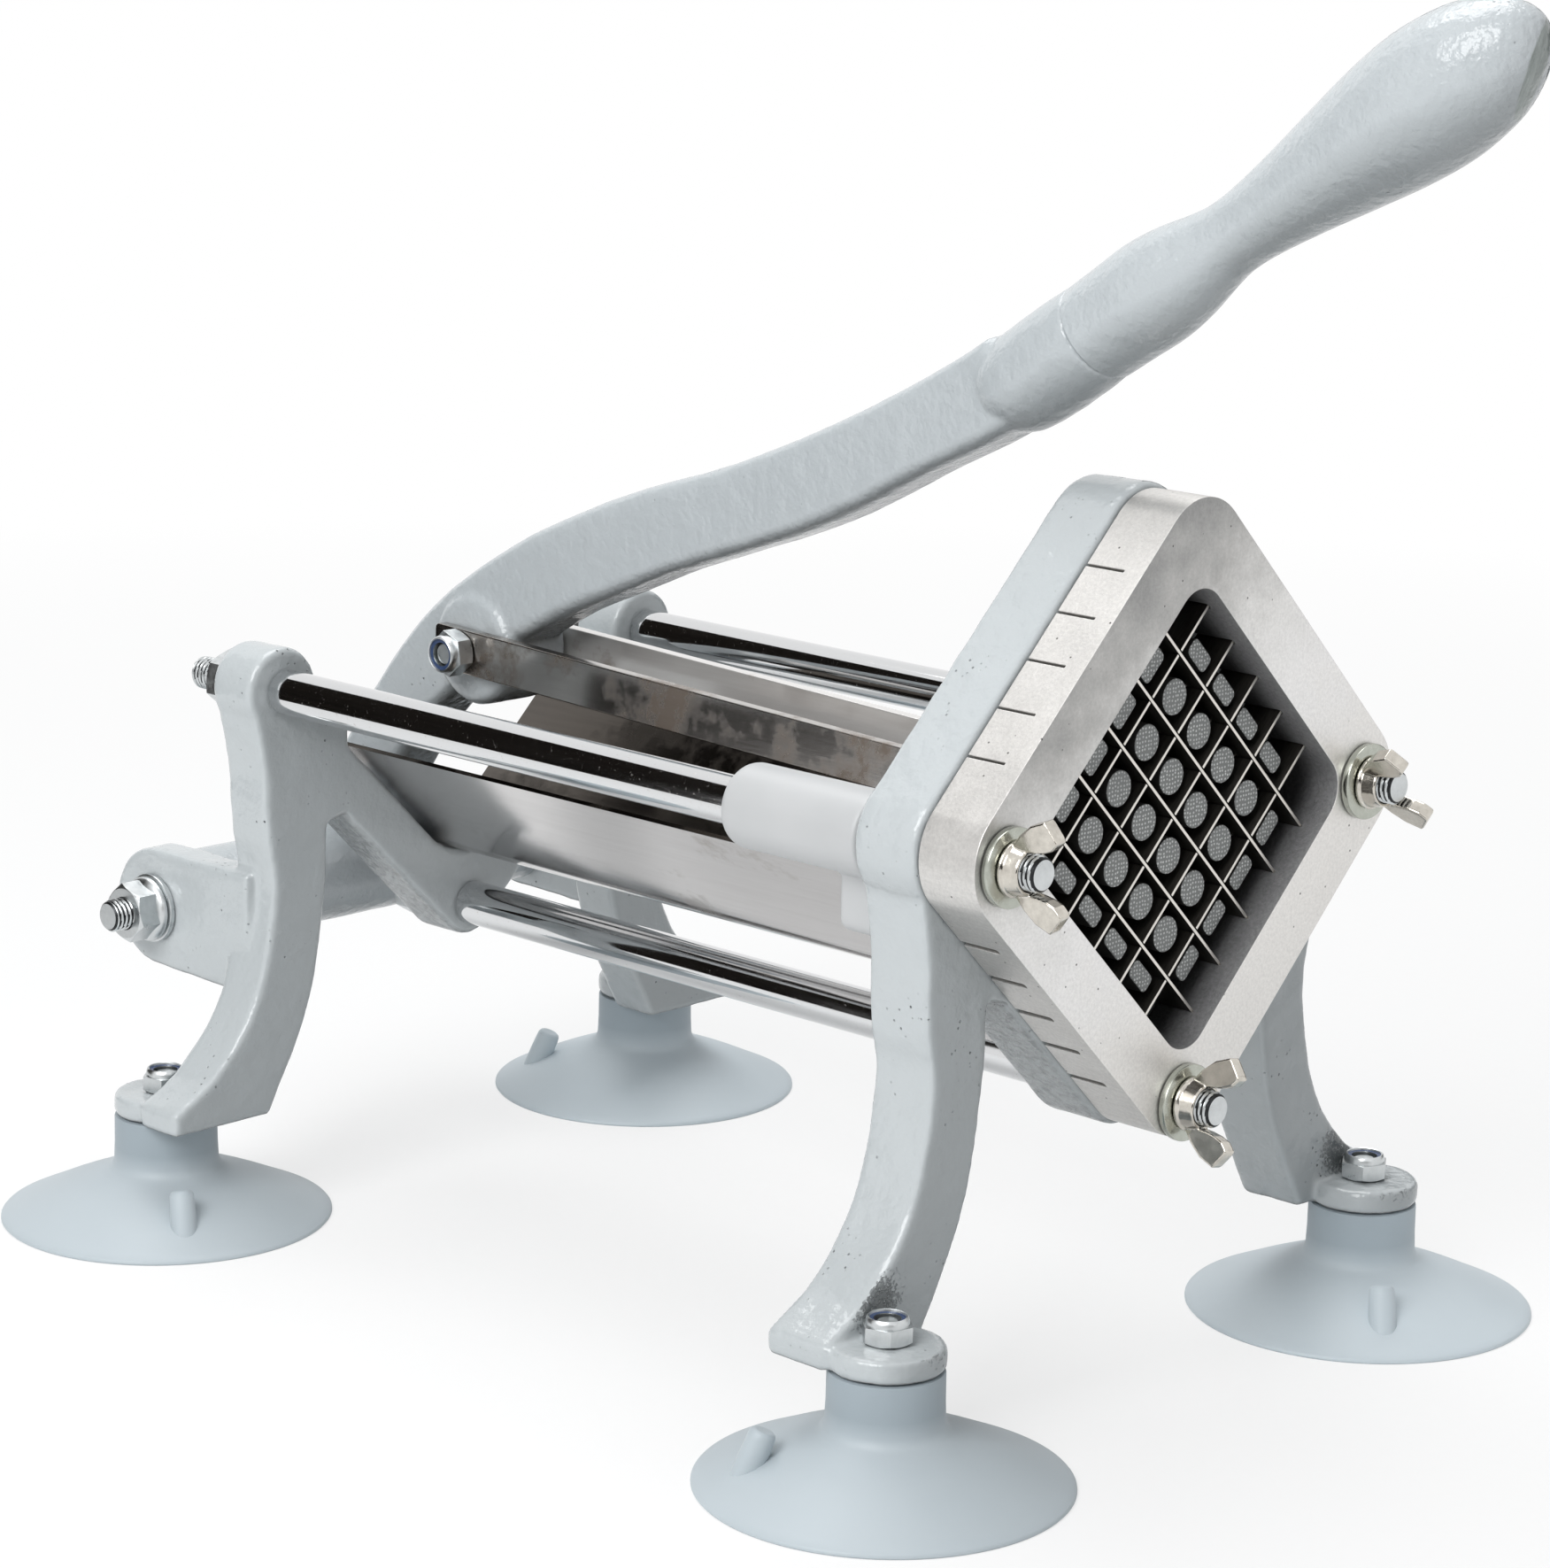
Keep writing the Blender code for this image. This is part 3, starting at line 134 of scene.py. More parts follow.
def crisped(piece, width, segments=2, angle=40):
    # a small rounded edge, with flat faces kept flat in the shading
    modify(piece, "BEVEL", width=width * mm, segments=segments, limit_method="ANGLE",
           angle_limit=math.radians(angle), miter_outer="MITER_ARC")
    smoothed(piece, 40)
    return modify(piece, "WEIGHTED_NORMAL", keep_sharp=True, weight=100)


def outward(piece):
    pick(piece)
    bpy.ops.object.mode_set(mode="EDIT")
    bpy.ops.mesh.select_all(action="SELECT")
    bpy.ops.mesh.remove_doubles(threshold=0.000002)
    bpy.ops.mesh.normals_make_consistent(inside=False)
    bpy.ops.object.mode_set(mode="OBJECT")
    return piece


def spun(degrees, axis="Z"):
    return Matrix.Rotation(math.radians(degrees), 4, axis)


def facing(axis):
    # turns local Z to a direction of the frame
    turns = {"x": spun(90) @ spun(90, "X"), "-x": spun(-90) @ spun(90, "X"),
             "y": spun(-90, "X"), "-y": spun(90, "X")}
    return turns.get(axis, Matrix.Identity(4))


def atAxis(x, y, z, axis):
    return Matrix.Translation(at(x, y, z)) @ facing(axis)


def turned(name, profile, steps=48):
    # a circle drawn out ring by ring along (radius, height) in mm, capped or closed on itself
    radius, height = profile[0]
    tipHeight, startsClosed = height, radius == 0
    if startsClosed:
        radius, height = profile[1]
    flatStart = startsClosed and height == tipHeight
    deselectAll()
    bpy.ops.mesh.primitive_circle_add(vertices=steps, radius=radius * mm, location=(0, 0, height * mm),
                                      fill_type="NGON" if flatStart else "NOTHING")
    piece = settle(named(name))
    bpy.ops.object.mode_set(mode="EDIT")
    bpy.ops.mesh.select_mode(type="VERT")
    if startsClosed and not flatStart:
        rise = (tipHeight - height) * mm
        bpy.ops.mesh.extrude_edges_move(TRANSFORM_OT_translate={"value": (0, 0, rise)})
        bpy.ops.mesh.merge(type="CENTER")
        bpy.ops.mesh.select_all(action="DESELECT")
        bpy.ops.object.mode_set(mode="OBJECT")
        for vertex in piece.data.vertices:
            vertex.select = vertex.co.xy.length > radius * mm * 0.5
        bpy.ops.object.mode_set(mode="EDIT")
    bpy.ops.mesh.select_mode(type="EDGE")
    for nextRadius, nextHeight in profile[2:] if startsClosed else profile[1:]:
        rise = (nextHeight - height) * mm
        bpy.ops.mesh.extrude_edges_move(TRANSFORM_OT_translate={"value": (0, 0, rise)})
        if nextRadius == 0:
            bpy.ops.mesh.merge(type="CENTER")
            break
        if nextRadius != radius:
            bpy.ops.transform.resize(value=(nextRadius / radius, nextRadius / radius, 1),
                                     center_override=(0, 0, nextHeight * mm))
        radius, height = nextRadius, nextHeight
    bpy.ops.object.mode_set(mode="OBJECT")
    return smoothed(outward(piece), 38)


def traced(name, loops, thick, edge=0.0, view="front", middle=0.0, rounds=2):
    # a flat outline in mm with holes, given a thickness and rounded edges
    curve = bpy.data.curves.new(name, "CURVE")
    curve.dimensions = "2D"
    curve.fill_mode = "BOTH"
    curve.extrude = (thick / 2 - edge) * mm
    curve.bevel_depth = edge * mm
    curve.bevel_resolution = rounds
    curve.offset = -edge * mm
    for number, loop in enumerate(loops):
        area = sum(a[0] * b[1] - b[0] * a[1] for a, b in zip(loop, loop[1:] + loop[:1]))
        line = loop if (area > 0) == (number == 0) else list(reversed(loop))
        spline = curve.splines.new("POLY")
        spline.points.add(len(line) - 1)
        for point, (u, v) in zip(spline.points, line):
            point.co = (u * mm, v * mm, 0, 1)
        spline.use_cyclic_u = True
    drawn = bpy.data.objects.new(name, curve)
    bpy.context.scene.collection.objects.link(drawn)
    pick(drawn)
    bpy.ops.object.convert(target="MESH")
    piece = named(name)
    if view == "front":
        matrix = Matrix.Translation((0, faceY + middle * mm, 0)) @ facing("-y")
    elif view == "side":
        matrix = Matrix.Translation((middle * mm, faceY, 0)) @ facing("x")
    elif view == "top":
        matrix = Matrix.Translation((0, faceY, middle * mm))
    else:
        matrix = Matrix.Identity(4)
    return outward(put(piece, matrix))


def arc(cx, cz, radius, start, end, steps=12):
    angles = [math.radians(start + (end - start) * i / steps) for i in range(steps + 1)]
    return [(cx + radius * math.cos(a), cz + radius * math.sin(a)) for a in angles]


def roundedBox(left, right, half, corner, steps):
    near, far, side = right - corner, left + corner, half - corner
    points = []
    for start, x, y in ((0, near, side), (90, far, side), (180, far, -side), (270, near, -side)):
        points += arc(x, y, corner, start, start + 90, steps)
    return points


def diamond(side, corner, cz=0.0, steps=10):
    reach = side / math.sqrt(2) - corner * math.sqrt(2)
    points = []
    for middle in (0, 90, 180, 270):
        x, z = reach * math.cos(math.radians(middle)), reach * math.sin(math.radians(middle))
        points += arc(x, cz + z, corner, middle - 45, middle + 45, steps)
    return points


def mirroredLoop(points):
    return points + [(-x, z) for x, z in reversed(points) if x > 0.01]


def smoothLine(points, steps=6):
    # a Catmull-Rom curve through the points
    ends = [points[0]] + list(points) + [points[-1]]
    line = []
    for corners in zip(ends, ends[1:], ends[2:], ends[3:]):
        for i in range(steps):
            t = i / steps
            line.append(tuple(0.5 * (2 * q + (r - p) * t + (2 * p - 5 * q + 4 * r - s) * t * t
                                     + (3 * q - p - 3 * r + s) * t ** 3) for p, q, r, s in zip(*corners)))
    line.append(tuple(points[-1]))
    return line


def asCast(piece, grain, passes, holes=(), uneven=0.0):
    # overlapping shapes run together as one casting with soft fillets, as uneven as its sand mould,
    # and are then drilled
    modify(piece, "REMESH", mode="VOXEL", voxel_size=grain * mm, adaptivity=0)
    modify(piece, "SMOOTH", factor=0.5, iterations=passes)
    if uneven:
        sand = bpy.data.textures.new("sand", "CLOUDS")
        sand.noise_scale = 0.009
        sand.noise_depth = 2
        modify(piece, "DISPLACE", texture=sand, texture_coords="LOCAL", strength=uneven * mm,
               mid_level=0.5)
    if holes:
        cutWith(piece, *holes)
    return smoothed(piece, 60)


def cylinder(name, radius, low, high, sides=48):
    deselectAll()
    bpy.ops.mesh.primitive_cylinder_add(vertices=sides, radius=radius * mm, depth=(high - low) * mm,
                                        location=(0, 0, (low + high) / 2 * mm))
    return settle(named(name))


def drill(radius, length, x, y, z, axis):
    return put(cylinder("drill", radius, -length / 2, length / 2), atAxis(x, y, z, axis))


def paint(piece, *looks):
    piece.data.materials.clear()
    for look in looks:
        piece.data.materials.append(look)
    return piece


def paintWhere(piece, look, other, isOther):
    # two materials on one piece, told apart face by face
    paint(piece, look, other)
    for polygon in piece.data.polygons:
        polygon.material_index = int(isOther(polygon))


def install(piece, body, look, *nodes):
    if look is not None:
        paint(piece, look)
    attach(piece, body)
    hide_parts(*nodes)
    return piece


def handOut(pattern, places, label, body, look, node):
    # a copy of the pattern at each place, then the pattern itself goes
    for word, place in places:
        install(copied(pattern, label + word, place), body.format(word), look, node + word)
    discard(pattern)


# Camera at the photograph's place, and a plain white sweep with soft lights

view = {
    "place": (-714.9, -570.35, 346.7),
    "right": (0.70011775, -0.71380922, 0.01765016),
    "up": (0.14748647, 0.16875526, 0.97456113),
    "back": (-0.69862928, -0.67970439, 0.22342575),
    "lens": 100.36,
}
cameraData = bpy.data.cameras.new("camera")
cameraData.sensor_width = 36
cameraData.lens = view["lens"]
cameraData.clip_start = 0.01
camera = bpy.data.objects.new("camera", cameraData)
bpy.context.scene.collection.objects.link(camera)
turn = Matrix((view["right"], view["up"], view["back"])).transposed().to_4x4()
camera.matrix_world = Matrix.Translation(at(*view["place"])) @ turn
bpy.context.scene.camera = camera
bpy.context.scene.view_settings.view_transform = "Standard"
print("camera is set")


# Colours and nodes

def linear(hexColour):
    parts = [int(hexColour[i:i + 2], 16) / 255 for i in (1, 3, 5)]
    return tuple(p / 12.92 if p <= 0.04045 else ((p + 0.055) / 1.055) ** 2.4 for p in parts) + (1.0,)


def addNode(tree, kind, inputs=None, **settings):
    node = tree.nodes.new("ShaderNode" + kind)
    for key, value in settings.items():
        setattr(node, key, value)
    for key, value in (inputs or {}).items():
        if isinstance(value, bpy.types.NodeSocket):
            tree.links.new(value, node.inputs[key])
        else:
            node.inputs[key].default_value = value
    return node


def noiseAt(tree, vector, size, detail=2.0, roughness=0.5):
    # cloudy noise with features of this size in mm
    inputs = {"Vector": vector, "Scale": 1000 / size, "Detail": detail, "Roughness": roughness}
    return addNode(tree, "TexNoise", inputs).outputs[0]


def cellsAt(tree, vector, size, randomness=1.0, **settings):
    inputs = {"Vector": vector, "Scale": 1000 / size, "Randomness": randomness}
    return addNode(tree, "TexVoronoi", inputs, **settings).outputs["Distance"]


def blend(tree, share, low, high, **settings):
    # each end is a hex colour or a socket
    low, high = (linear(end) if isinstance(end, str) else end for end in (low, high))
    return addNode(tree, "Mix", {0: share, 6: low, 7: high}, data_type="RGBA", **settings).outputs[2]


def span(tree, value, start, end, low=0.0, high=1.0):
    return addNode(tree, "MapRange", {"Value": value, 1: start, 2: end, 3: low, 4: high}).outputs[0]


def reckon(tree, operation, *terms):
    return addNode(tree, "Math", dict(enumerate(terms)), operation=operation).outputs[0]


def raised(tree, height, strength, distance, under=None, **settings):
    inputs = {"Strength": strength, "Distance": distance, "Height": height}
    if under is not None:
        inputs["Normal"] = under
    return addNode(tree, "Bump", inputs, **settings).outputs[0]


def axes(tree, vector):
    return addNode(tree, "SeparateXYZ", {0: vector}).outputs


def newMaterial(name):
    material = bpy.data.materials.new(name)
    material.use_nodes = True
    material.node_tree.nodes.clear()
    return material, material.node_tree, addNode(material.node_tree, "TexCoord").outputs["Object"]


def finished(material, inputs):
    shader = addNode(material.node_tree, "BsdfPrincipled", inputs)
    addNode(material.node_tree, "OutputMaterial", {"Surface": shader.outputs[0]})
    return material


lights = {
    "key": {"place": (-1.05, -0.25, 0.95), "size": 0.75, "watts": 12.0},
    "front": {"place": (-0.35, -1.35, 0.75), "size": 0.55, "watts": 0.3},
    "top": {"place": (0.25, 0.35, 1.35), "size": 0.9, "watts": 10.0},
}
for name, lamp in lights.items():
    data = bpy.data.lights.new(name, "AREA")
    data.shape = "SQUARE"
    data.size = lamp["size"]
    data.energy = lamp["watts"]
    lampObject = bpy.data.objects.new(name, data)
    bpy.context.scene.collection.objects.link(lampObject)
    lampObject.location = lamp["place"]
    aim = Vector((0, 0, 0.12)) - Vector(lamp["place"])
    lampObject.rotation_euler = aim.to_track_quat("-Z", "Y").to_euler()

world = bpy.data.worlds.new("white_room")
bpy.context.scene.world = world
world.use_nodes = True
world.node_tree.nodes.clear()
path = addNode(world.node_tree, "LightPath")
seen = reckon(world.node_tree, "MAXIMUM", path.outputs["Is Camera Ray"], path.outputs["Is Glossy Ray"])
seen = reckon(world.node_tree, "MAXIMUM", seen, path.outputs["Is Transmission Ray"])
soft = addNode(world.node_tree, "Background", {"Color": linear("#f4f6f8"), "Strength": 0.38})
bright = addNode(world.node_tree, "Background", {"Color": (1, 1, 1, 1), "Strength": 1.0})
both = addNode(world.node_tree, "MixShader", {0: seen, 1: soft.outputs[0], 2: bright.outputs[0]})
addNode(world.node_tree, "OutputWorld", {"Surface": both.outputs[0]})

# white paper sweep: the camera sees it nearly white and its soft shadow stays
deselectAll()
bpy.ops.mesh.primitive_circle_add(vertices=96, radius=60, fill_type="NGON", location=(0, 0, 0))
floor = settle(named("floor"))
paper, tree, place = newMaterial("white paper sweep")
grain = noiseAt(tree, place, 3)
tone = blend(tree, grain, "#f3f4f4", "#f7f7f7")
matt = addNode(tree, "BsdfPrincipled", {"Base Color": tone, "Roughness": 0.9, "Specular IOR Level": 0.1})
glow = addNode(tree, "Emission", {"Color": (1, 1, 1, 1), "Strength": 1.0})
path = addNode(tree, "LightPath")
distance = addNode(tree, "VectorMath", {0: place}, operation="LENGTH")
fade = span(tree, distance.outputs["Value"], 0.35, 1.1, 0.66, 1.0)
cameraShare = reckon(tree, "MULTIPLY", path.outputs["Is Camera Ray"], fade)
near = span(tree, distance.outputs["Value"], 0.12, 0.5)
glossyShare = reckon(tree, "MULTIPLY", path.outputs["Is Glossy Ray"], near)
share = reckon(tree, "MAXIMUM", cameraShare, glossyShare)
mixed = addNode(tree, "MixShader", {0: share, 1: matt.outputs[0], 2: glow.outputs[0]})
addNode(tree, "OutputMaterial", {"Surface": mixed.outputs[0]})
paint(floor, paper)

# black cards that only mirrors see: they draw the dark bands on the chrome, as in a studio
cards = {
    "card_left_rear": {"place": (-0.39, 0.85, 0.56), "width": 0.85, "height": 1.12, "heading": (-1, 1, 0)},
    "card_floor_left_rear": {"place": (-0.263, 0.737, 0.002), "width": 0.83, "height": 0.34, "flat": True},
    "card_camera_side": {"place": (-1.5, -1.45, 0.36), "width": 2.0, "height": 0.5},
    "card_right": {"place": (1.3, 0.1, 0.30), "width": 1.6, "height": 0.4},
}
black, tree, place = newMaterial("black studio card")
grain = noiseAt(tree, place, 60)
tone = blend(tree, grain, "#0b0b0c", "#26221e")
finished(black, {"Base Color": tone, "Roughness": 1.0, "Specular IOR Level": 0.0})
for name, card in cards.items():
    deselectAll()
    bpy.ops.mesh.primitive_plane_add(size=1)
    sheet = named(name)
    sheet.scale = (card["width"], card["height"], 1)
    sheet.location = card["place"]
    outwards = Vector(card.get("heading", (card["place"][0], card["place"][1], 0)))
    facingAway = (-outwards).to_track_quat("Z", "Y").to_euler()
    sheet.rotation_euler = (0, 0, math.radians(45)) if card.get("flat") else facingAway
    settle(sheet)
    paint(sheet, black)
    sheet.visible_camera = False
    sheet.visible_diffuse = False
    sheet.visible_shadow = False
print("floor, lights and cards are set")


# Materials

def enamelOnSandCasting(name, pits=1.0, waves=1.0, low="#b9bfc1", high="#c3c8ca", front="#a3a8aa",
                        under="#b3b8ba", undersideShadeAndGrit=0.0, feet=None, filed=None):
    # stoved enamel over a sand casting: a wet gloss that dips into the casting's pits and ripples
    material, tree, place = newMaterial(name)
    normal = place.node.outputs["Normal"]
    cloud = noiseAt(tree, place, 45, 3, 0.55)
    tone = blend(tree, cloud, low, high)
    split = axes(tree, normal)
    # the faces that look forward are painted darker in the front colour: painted shade
    forwardShade = span(tree, split[1], -0.55, -0.95)
    forwardShaded = blend(tree, forwardShade, tone, front)
    # faces that look down are painted darker in the under colour: painted shade
    below = span(tree, split[2], -0.15, -0.75)
    base = blend(tree, below, forwardShaded, under)
    # pinholes 0.3 mm wide, drawn at 0.5 mm, gathered in patches
    cells = cellsAt(tree, place, 2.0)
    hole = span(tree, cells, 0.07, 0.17, 1.0, 0.0)
    patch = noiseAt(tree, place, 17, 4, 0.6)
    inPatch = span(tree, patch, 0.60 - 0.06 * pits, 0.70 - 0.06 * pits)
    pit = reckon(tree, "MULTIPLY", hole, inPatch)
    # faces that look down lay against coarser sand, wavy and full of sparkles, and are painted darker in its
    # grain as painted shade on the undersides
    down = span(tree, split[2], -0.45, -0.8, 0.0, undersideShadeAndGrit)
    coarse = noiseAt(tree, place, 2.0, 4, 0.65)
    grainAndShade = span(tree, coarse, 0.38, 0.58, 0.9, 0.25)
    undersideShadeAndGrain = reckon(tree, "MULTIPLY", grainAndShade, down)
    dulled = blend(tree, undersideShadeAndGrain, base, "#787a7b")
    dark = blend(tree, pit, dulled, "#6f7577")
    relief = reckon(tree, "MULTIPLY", coarse, down)
    if feet:
        # a darker speckled patch in the fillets behind the foot nuts, on the faces that look forward
        spot = axes(tree, place)
        across = reckon(tree, "ABSOLUTE", spot[0])
        lane = reckon(tree, "SUBTRACT", across, feet["x"] * mm)
        rise = reckon(tree, "SUBTRACT", spot[2], feet["z"] * mm)
        flat = addNode(tree, "CombineXYZ", {0: lane, 1: rise})
        away = addNode(tree, "VectorMath", {0: flat.outputs[0]}, operation="LENGTH")
        ring = span(tree, away.outputs["Value"], feet["solid"] * mm, feet["reach"] * mm, 1.0, 0.0)
        turnedOn = span(tree, split[1], -0.25, -0.65)
        near = reckon(tree, "MULTIPLY", ring, turnedOn)
        sand = noiseAt(tree, place, 0.9, 3, 0.7)
        reach = reckon(tree, "MULTIPLY_ADD", near, 0.32, sand)
        grain = span(tree, reach, 0.68, 0.80, 0.0, 0.85)
        speckle = reckon(tree, "MULTIPLY", grain, near)
        dark = blend(tree, speckle, dark, "#565b5c")
        relief = reckon(tree, "MULTIPLY_ADD", speckle, -0.5, relief)
    if filed:
        # a narrow band filed flat before painting, its file lines still to be seen
        offset = addNode(tree, "VectorMath", {0: place, 1: at(*filed["place"])}, operation="SUBTRACT")
        runs, shares = [], []
        halves = {"along": filed["length"] / 2, "across": filed["width"] / 2, "inwards": filed["depth"]}
        for way, size in halves.items():
            run = addNode(tree, "VectorMath", {0: offset.outputs[0], 1: filed[way]},
                          operation="DOT_PRODUCT")
            runs.append(run.outputs["Value"])
            shares.append(reckon(tree, "MULTIPLY", runs[-1], 1 / (size * mm)))
        ball = addNode(tree, "CombineXYZ", dict(enumerate(shares)))
        oval = addNode(tree, "VectorMath", {0: ball.outputs[0]}, operation="LENGTH")
        surface = addNode(tree, "CombineXYZ", {0: runs[0], 1: runs[1]})
        stretched = addNode(tree, "Mapping", {"Vector": surface.outputs[0], "Scale": (0.12, 1.0, 1.0)})
        lines = noiseAt(tree, stretched.outputs[0], 1.1, 4, 0.7)
        edge = reckon(tree, "MULTIPLY_ADD", lines, 0.7, oval.outputs["Value"])
        inside = span(tree, edge, 1.3, 1.45, 1.0, 0.0)
        streak = blend(tree, lines, "#565f5b", "#b9bfbd")
        dark = blend(tree, inside, dark, streak)
    ripple = noiseAt(tree, place, 4.5, roughness=0.45)
    orange = noiseAt(tree, place, 1.6, 3)
    first = raised(tree, ripple, 0.5, 0.0006 * waves)
    second = raised(tree, orange, 0.6, 0.00028 * waves, first)
    third = raised(tree, relief, 1.0, 0.0012, second)
    last = raised(tree, pit, 0.9, 0.0005, third, invert=True)
    rough = span(tree, cloud, 0.3, 0.7, 0.09, 0.15)
    return finished(material, {"Base Color": dark, "Roughness": rough, "Normal": last, "IOR": 1.5})


def milledAluminium():
    # sawn and milled cast aluminium: satin, clouded, with fine cutter lines and a few sand holes
    material, tree, place = newMaterial("milled cast aluminium")
    normal = place.node.outputs["Normal"]
    onEdge = addNode(tree, "Mapping", {"Vector": place, "Rotation": (0, math.radians(45), 0)})
    lines = addNode(tree, "Mapping", {"Vector": onEdge.outputs[0], "Scale": (0.6, 1.0, 14.0)})
    cutter = noiseAt(tree, lines.outputs[0], 12, 6, 0.65)
    cloud = noiseAt(tree, place, 16, 5, 0.62)
    fine = noiseAt(tree, place, 0.8, 4, 0.7)
    # the sawn front face is painted darker towards its top corner and lighter towards the bottom and the
    # right: painted shade and painted reflection, wandering with a cloud
    split = axes(tree, place)
    up = span(tree, split[2], (middleZ - 76) * mm, (middleZ + 76) * mm, -1.0, 1.0)
    over = reckon(tree, "MULTIPLY_ADD", split[0], -7.9, up)
    faceShadeAndCloud = reckon(tree, "MULTIPLY_ADD", cloud, 0.9, over)
    ramp = addNode(tree, "ValToRGB", {0: span(tree, faceShadeAndCloud, -0.55, 1.45)})
    stops = ((0.0, "#dddbd8"), (0.28, "#e8e6e3"), (0.5, "#ecebea"), (0.66, "#e2e1df"), (0.84, "#b9b8b6"),
             (1.0, "#9c9c9b"))
    for spot, shade in stops[1:-1]:
        ramp.color_ramp.elements.new(spot)
    for element, (spot, shade) in zip(ramp.color_ramp.elements, stops):
        element.position = spot
        element.color = linear(shade)
    heading = axes(tree, normal)
    onFace = span(tree, heading[1], -0.9, -0.6, 1.0, 0.0)
    side = blend(tree, cutter, "#cccac7", "#e8e6e3")
    faced = blend(tree, onFace, side, ramp.outputs[0])
    mottle = span(tree, fine, 0.3, 0.7, 0.86, 1.04)
    mottled = blend(tree, 1.0, faced, mottle, blend_type="MULTIPLY")
    cells = cellsAt(tree, place, 4.5)
    hole = span(tree, cells, 0.035, 0.07, 1.0, 0.0)
    holed = blend(tree, hole, mottled, "#5c5b5a")
    rough = span(tree, cloud, 0.25, 0.75, 0.33, 0.5)
    height = reckon(tree, "ADD", cutter, fine)
    bump = raised(tree, height, 0.35, 0.0001)
    return finished(material, {"Base Color": holed, "Roughness": rough, "Normal": bump, "Metallic": 0.85})


def sandCastAluminium():
    # inside of the opening, left as it came from the sand: dark grey grain that hardly shines, painted near
    # black deep in as painted shade and lighter along its front as painted light
    material, tree, place = newMaterial("sand cast aluminium")
    sand = noiseAt(tree, place, 0.9, 5, 0.75)
    split = axes(tree, place)
    lightNearFront = span(tree, split[1], faceY, faceY + 0.011, 1.0, 0.0)
    tone = blend(tree, sand, "#1a1a1b", "#565657")
    lit = blend(tree, sand, "#6a6a6b", "#c4c4c5")
    mixed = blend(tree, lightNearFront, tone, lit)
    bump = raised(tree, sand, 0.9, 0.0003)
    return finished(material, {"Base Color": mixed, "Normal": bump, "Metallic": 0.5, "Roughness": 0.6})


def chromePlatedRod():
    # hard chrome on a ground rod: a mirror with dust specks and faint lengthways wipe marks
    material, tree, place = newMaterial("hard chrome on ground steel")
    along = addNode(tree, "Mapping", {"Vector": place, "Scale": (1.0, 0.08, 1.0)})
    wipes = noiseAt(tree, along.outputs[0], 2.5, 5, 0.7)
    dust = noiseAt(tree, place, 0.9, 4, 0.8)
    speck = span(tree, dust, 0.62, 0.70)
    tone = blend(tree, speck, "#d9dadb", "#bdb7b2")
    rough = span(tree, wipes, 0.3, 0.8, 0.04, 0.12)
    rougher = reckon(tree, "MULTIPLY_ADD", speck, 0.3, rough)
    return finished(material, {"Base Color": tone, "Roughness": rougher, "Metallic": 1.0})


def brightRolledSheet(name, low, high, dustColour, dustFrom, metal=1.0):
    # bright cold-rolled stainless: soft mirror with rolling lines along it and dry food dust
    material, tree, place = newMaterial(name)
    along = addNode(tree, "Mapping", {"Vector": place, "Scale": (1.0, 0.05, 1.0)})
    lines = noiseAt(tree, along.outputs[0], 1.4, 5, 0.7)
    patches = noiseAt(tree, place, 26, 6, 0.66)
    tone = blend(tree, lines, low, high)
    dusty = span(tree, patches, dustFrom, dustFrom + 0.12, 0.0, 0.75)
    coloured = blend(tree, dusty, tone, dustColour)
    rough = reckon(tree, "MULTIPLY_ADD", dusty, 0.25, 0.13)
    bump = raised(tree, lines, 0.08, 0.0001)
    return finished(material, {"Base Color": coloured, "Roughness": rough, "Normal": bump, "Metallic": metal})


def platedSteel(name, low, high, roughness):
    # barrel plating on turned and pressed steel: bright but softened, with small handling dents
    material, tree, place = newMaterial(name)
    cloud = noiseAt(tree, place, 2.4, 4, 0.6)
    dents = noiseAt(tree, place, 1.3, 3)
    tone = blend(tree, cloud, low, high)
    rough = span(tree, cloud, 0.3, 0.7, roughness, roughness + 0.14)
    bump = raised(tree, dents, 0.25, 0.0001)
    return finished(material, {"Base Color": tone, "Roughness": rough, "Normal": bump, "Metallic": 1.0})


def groundBladeSteel(name, low, high):
    # ground stainless strip with grinding lines along it: the flats are painted near black as a painted dark
    # reflection, the honed edge keeps a bright steel tone
    material, tree, place = newMaterial(name)
    lines = addNode(tree, "Mapping", {"Vector": place, "Scale": (1.0, 12.0, 1.0)})
    grind = noiseAt(tree, lines.outputs[0], 4, 5, 0.7)
    tone = blend(tree, grind, low, high)
    bump = raised(tree, grind, 0.15, 0.0001)
    rough = span(tree, grind, 0.3, 0.7, 0.28, 0.42)
    return finished(material, {"Base Color": tone, "Normal": bump, "Roughness": rough, "Metallic": 0.9})


def paleDieCasting():
    # powder-coated die casting of the slide: smooth off-white with a low sheen
    material, tree, place = newMaterial("pale powder coat on die casting")
    cloud = noiseAt(tree, place, 22, 3)
    peel = noiseAt(tree, place, 0.7)
    tone = blend(tree, cloud, "#b9bbbc", "#c5c6c7")
    bump = raised(tree, peel, 0.12, 0.0001)
    rough = span(tree, cloud, 0.3, 0.7, 0.36, 0.46)
    return finished(material, {"Base Color": tone, "Normal": bump, "Roughness": rough, "IOR": 1.5})


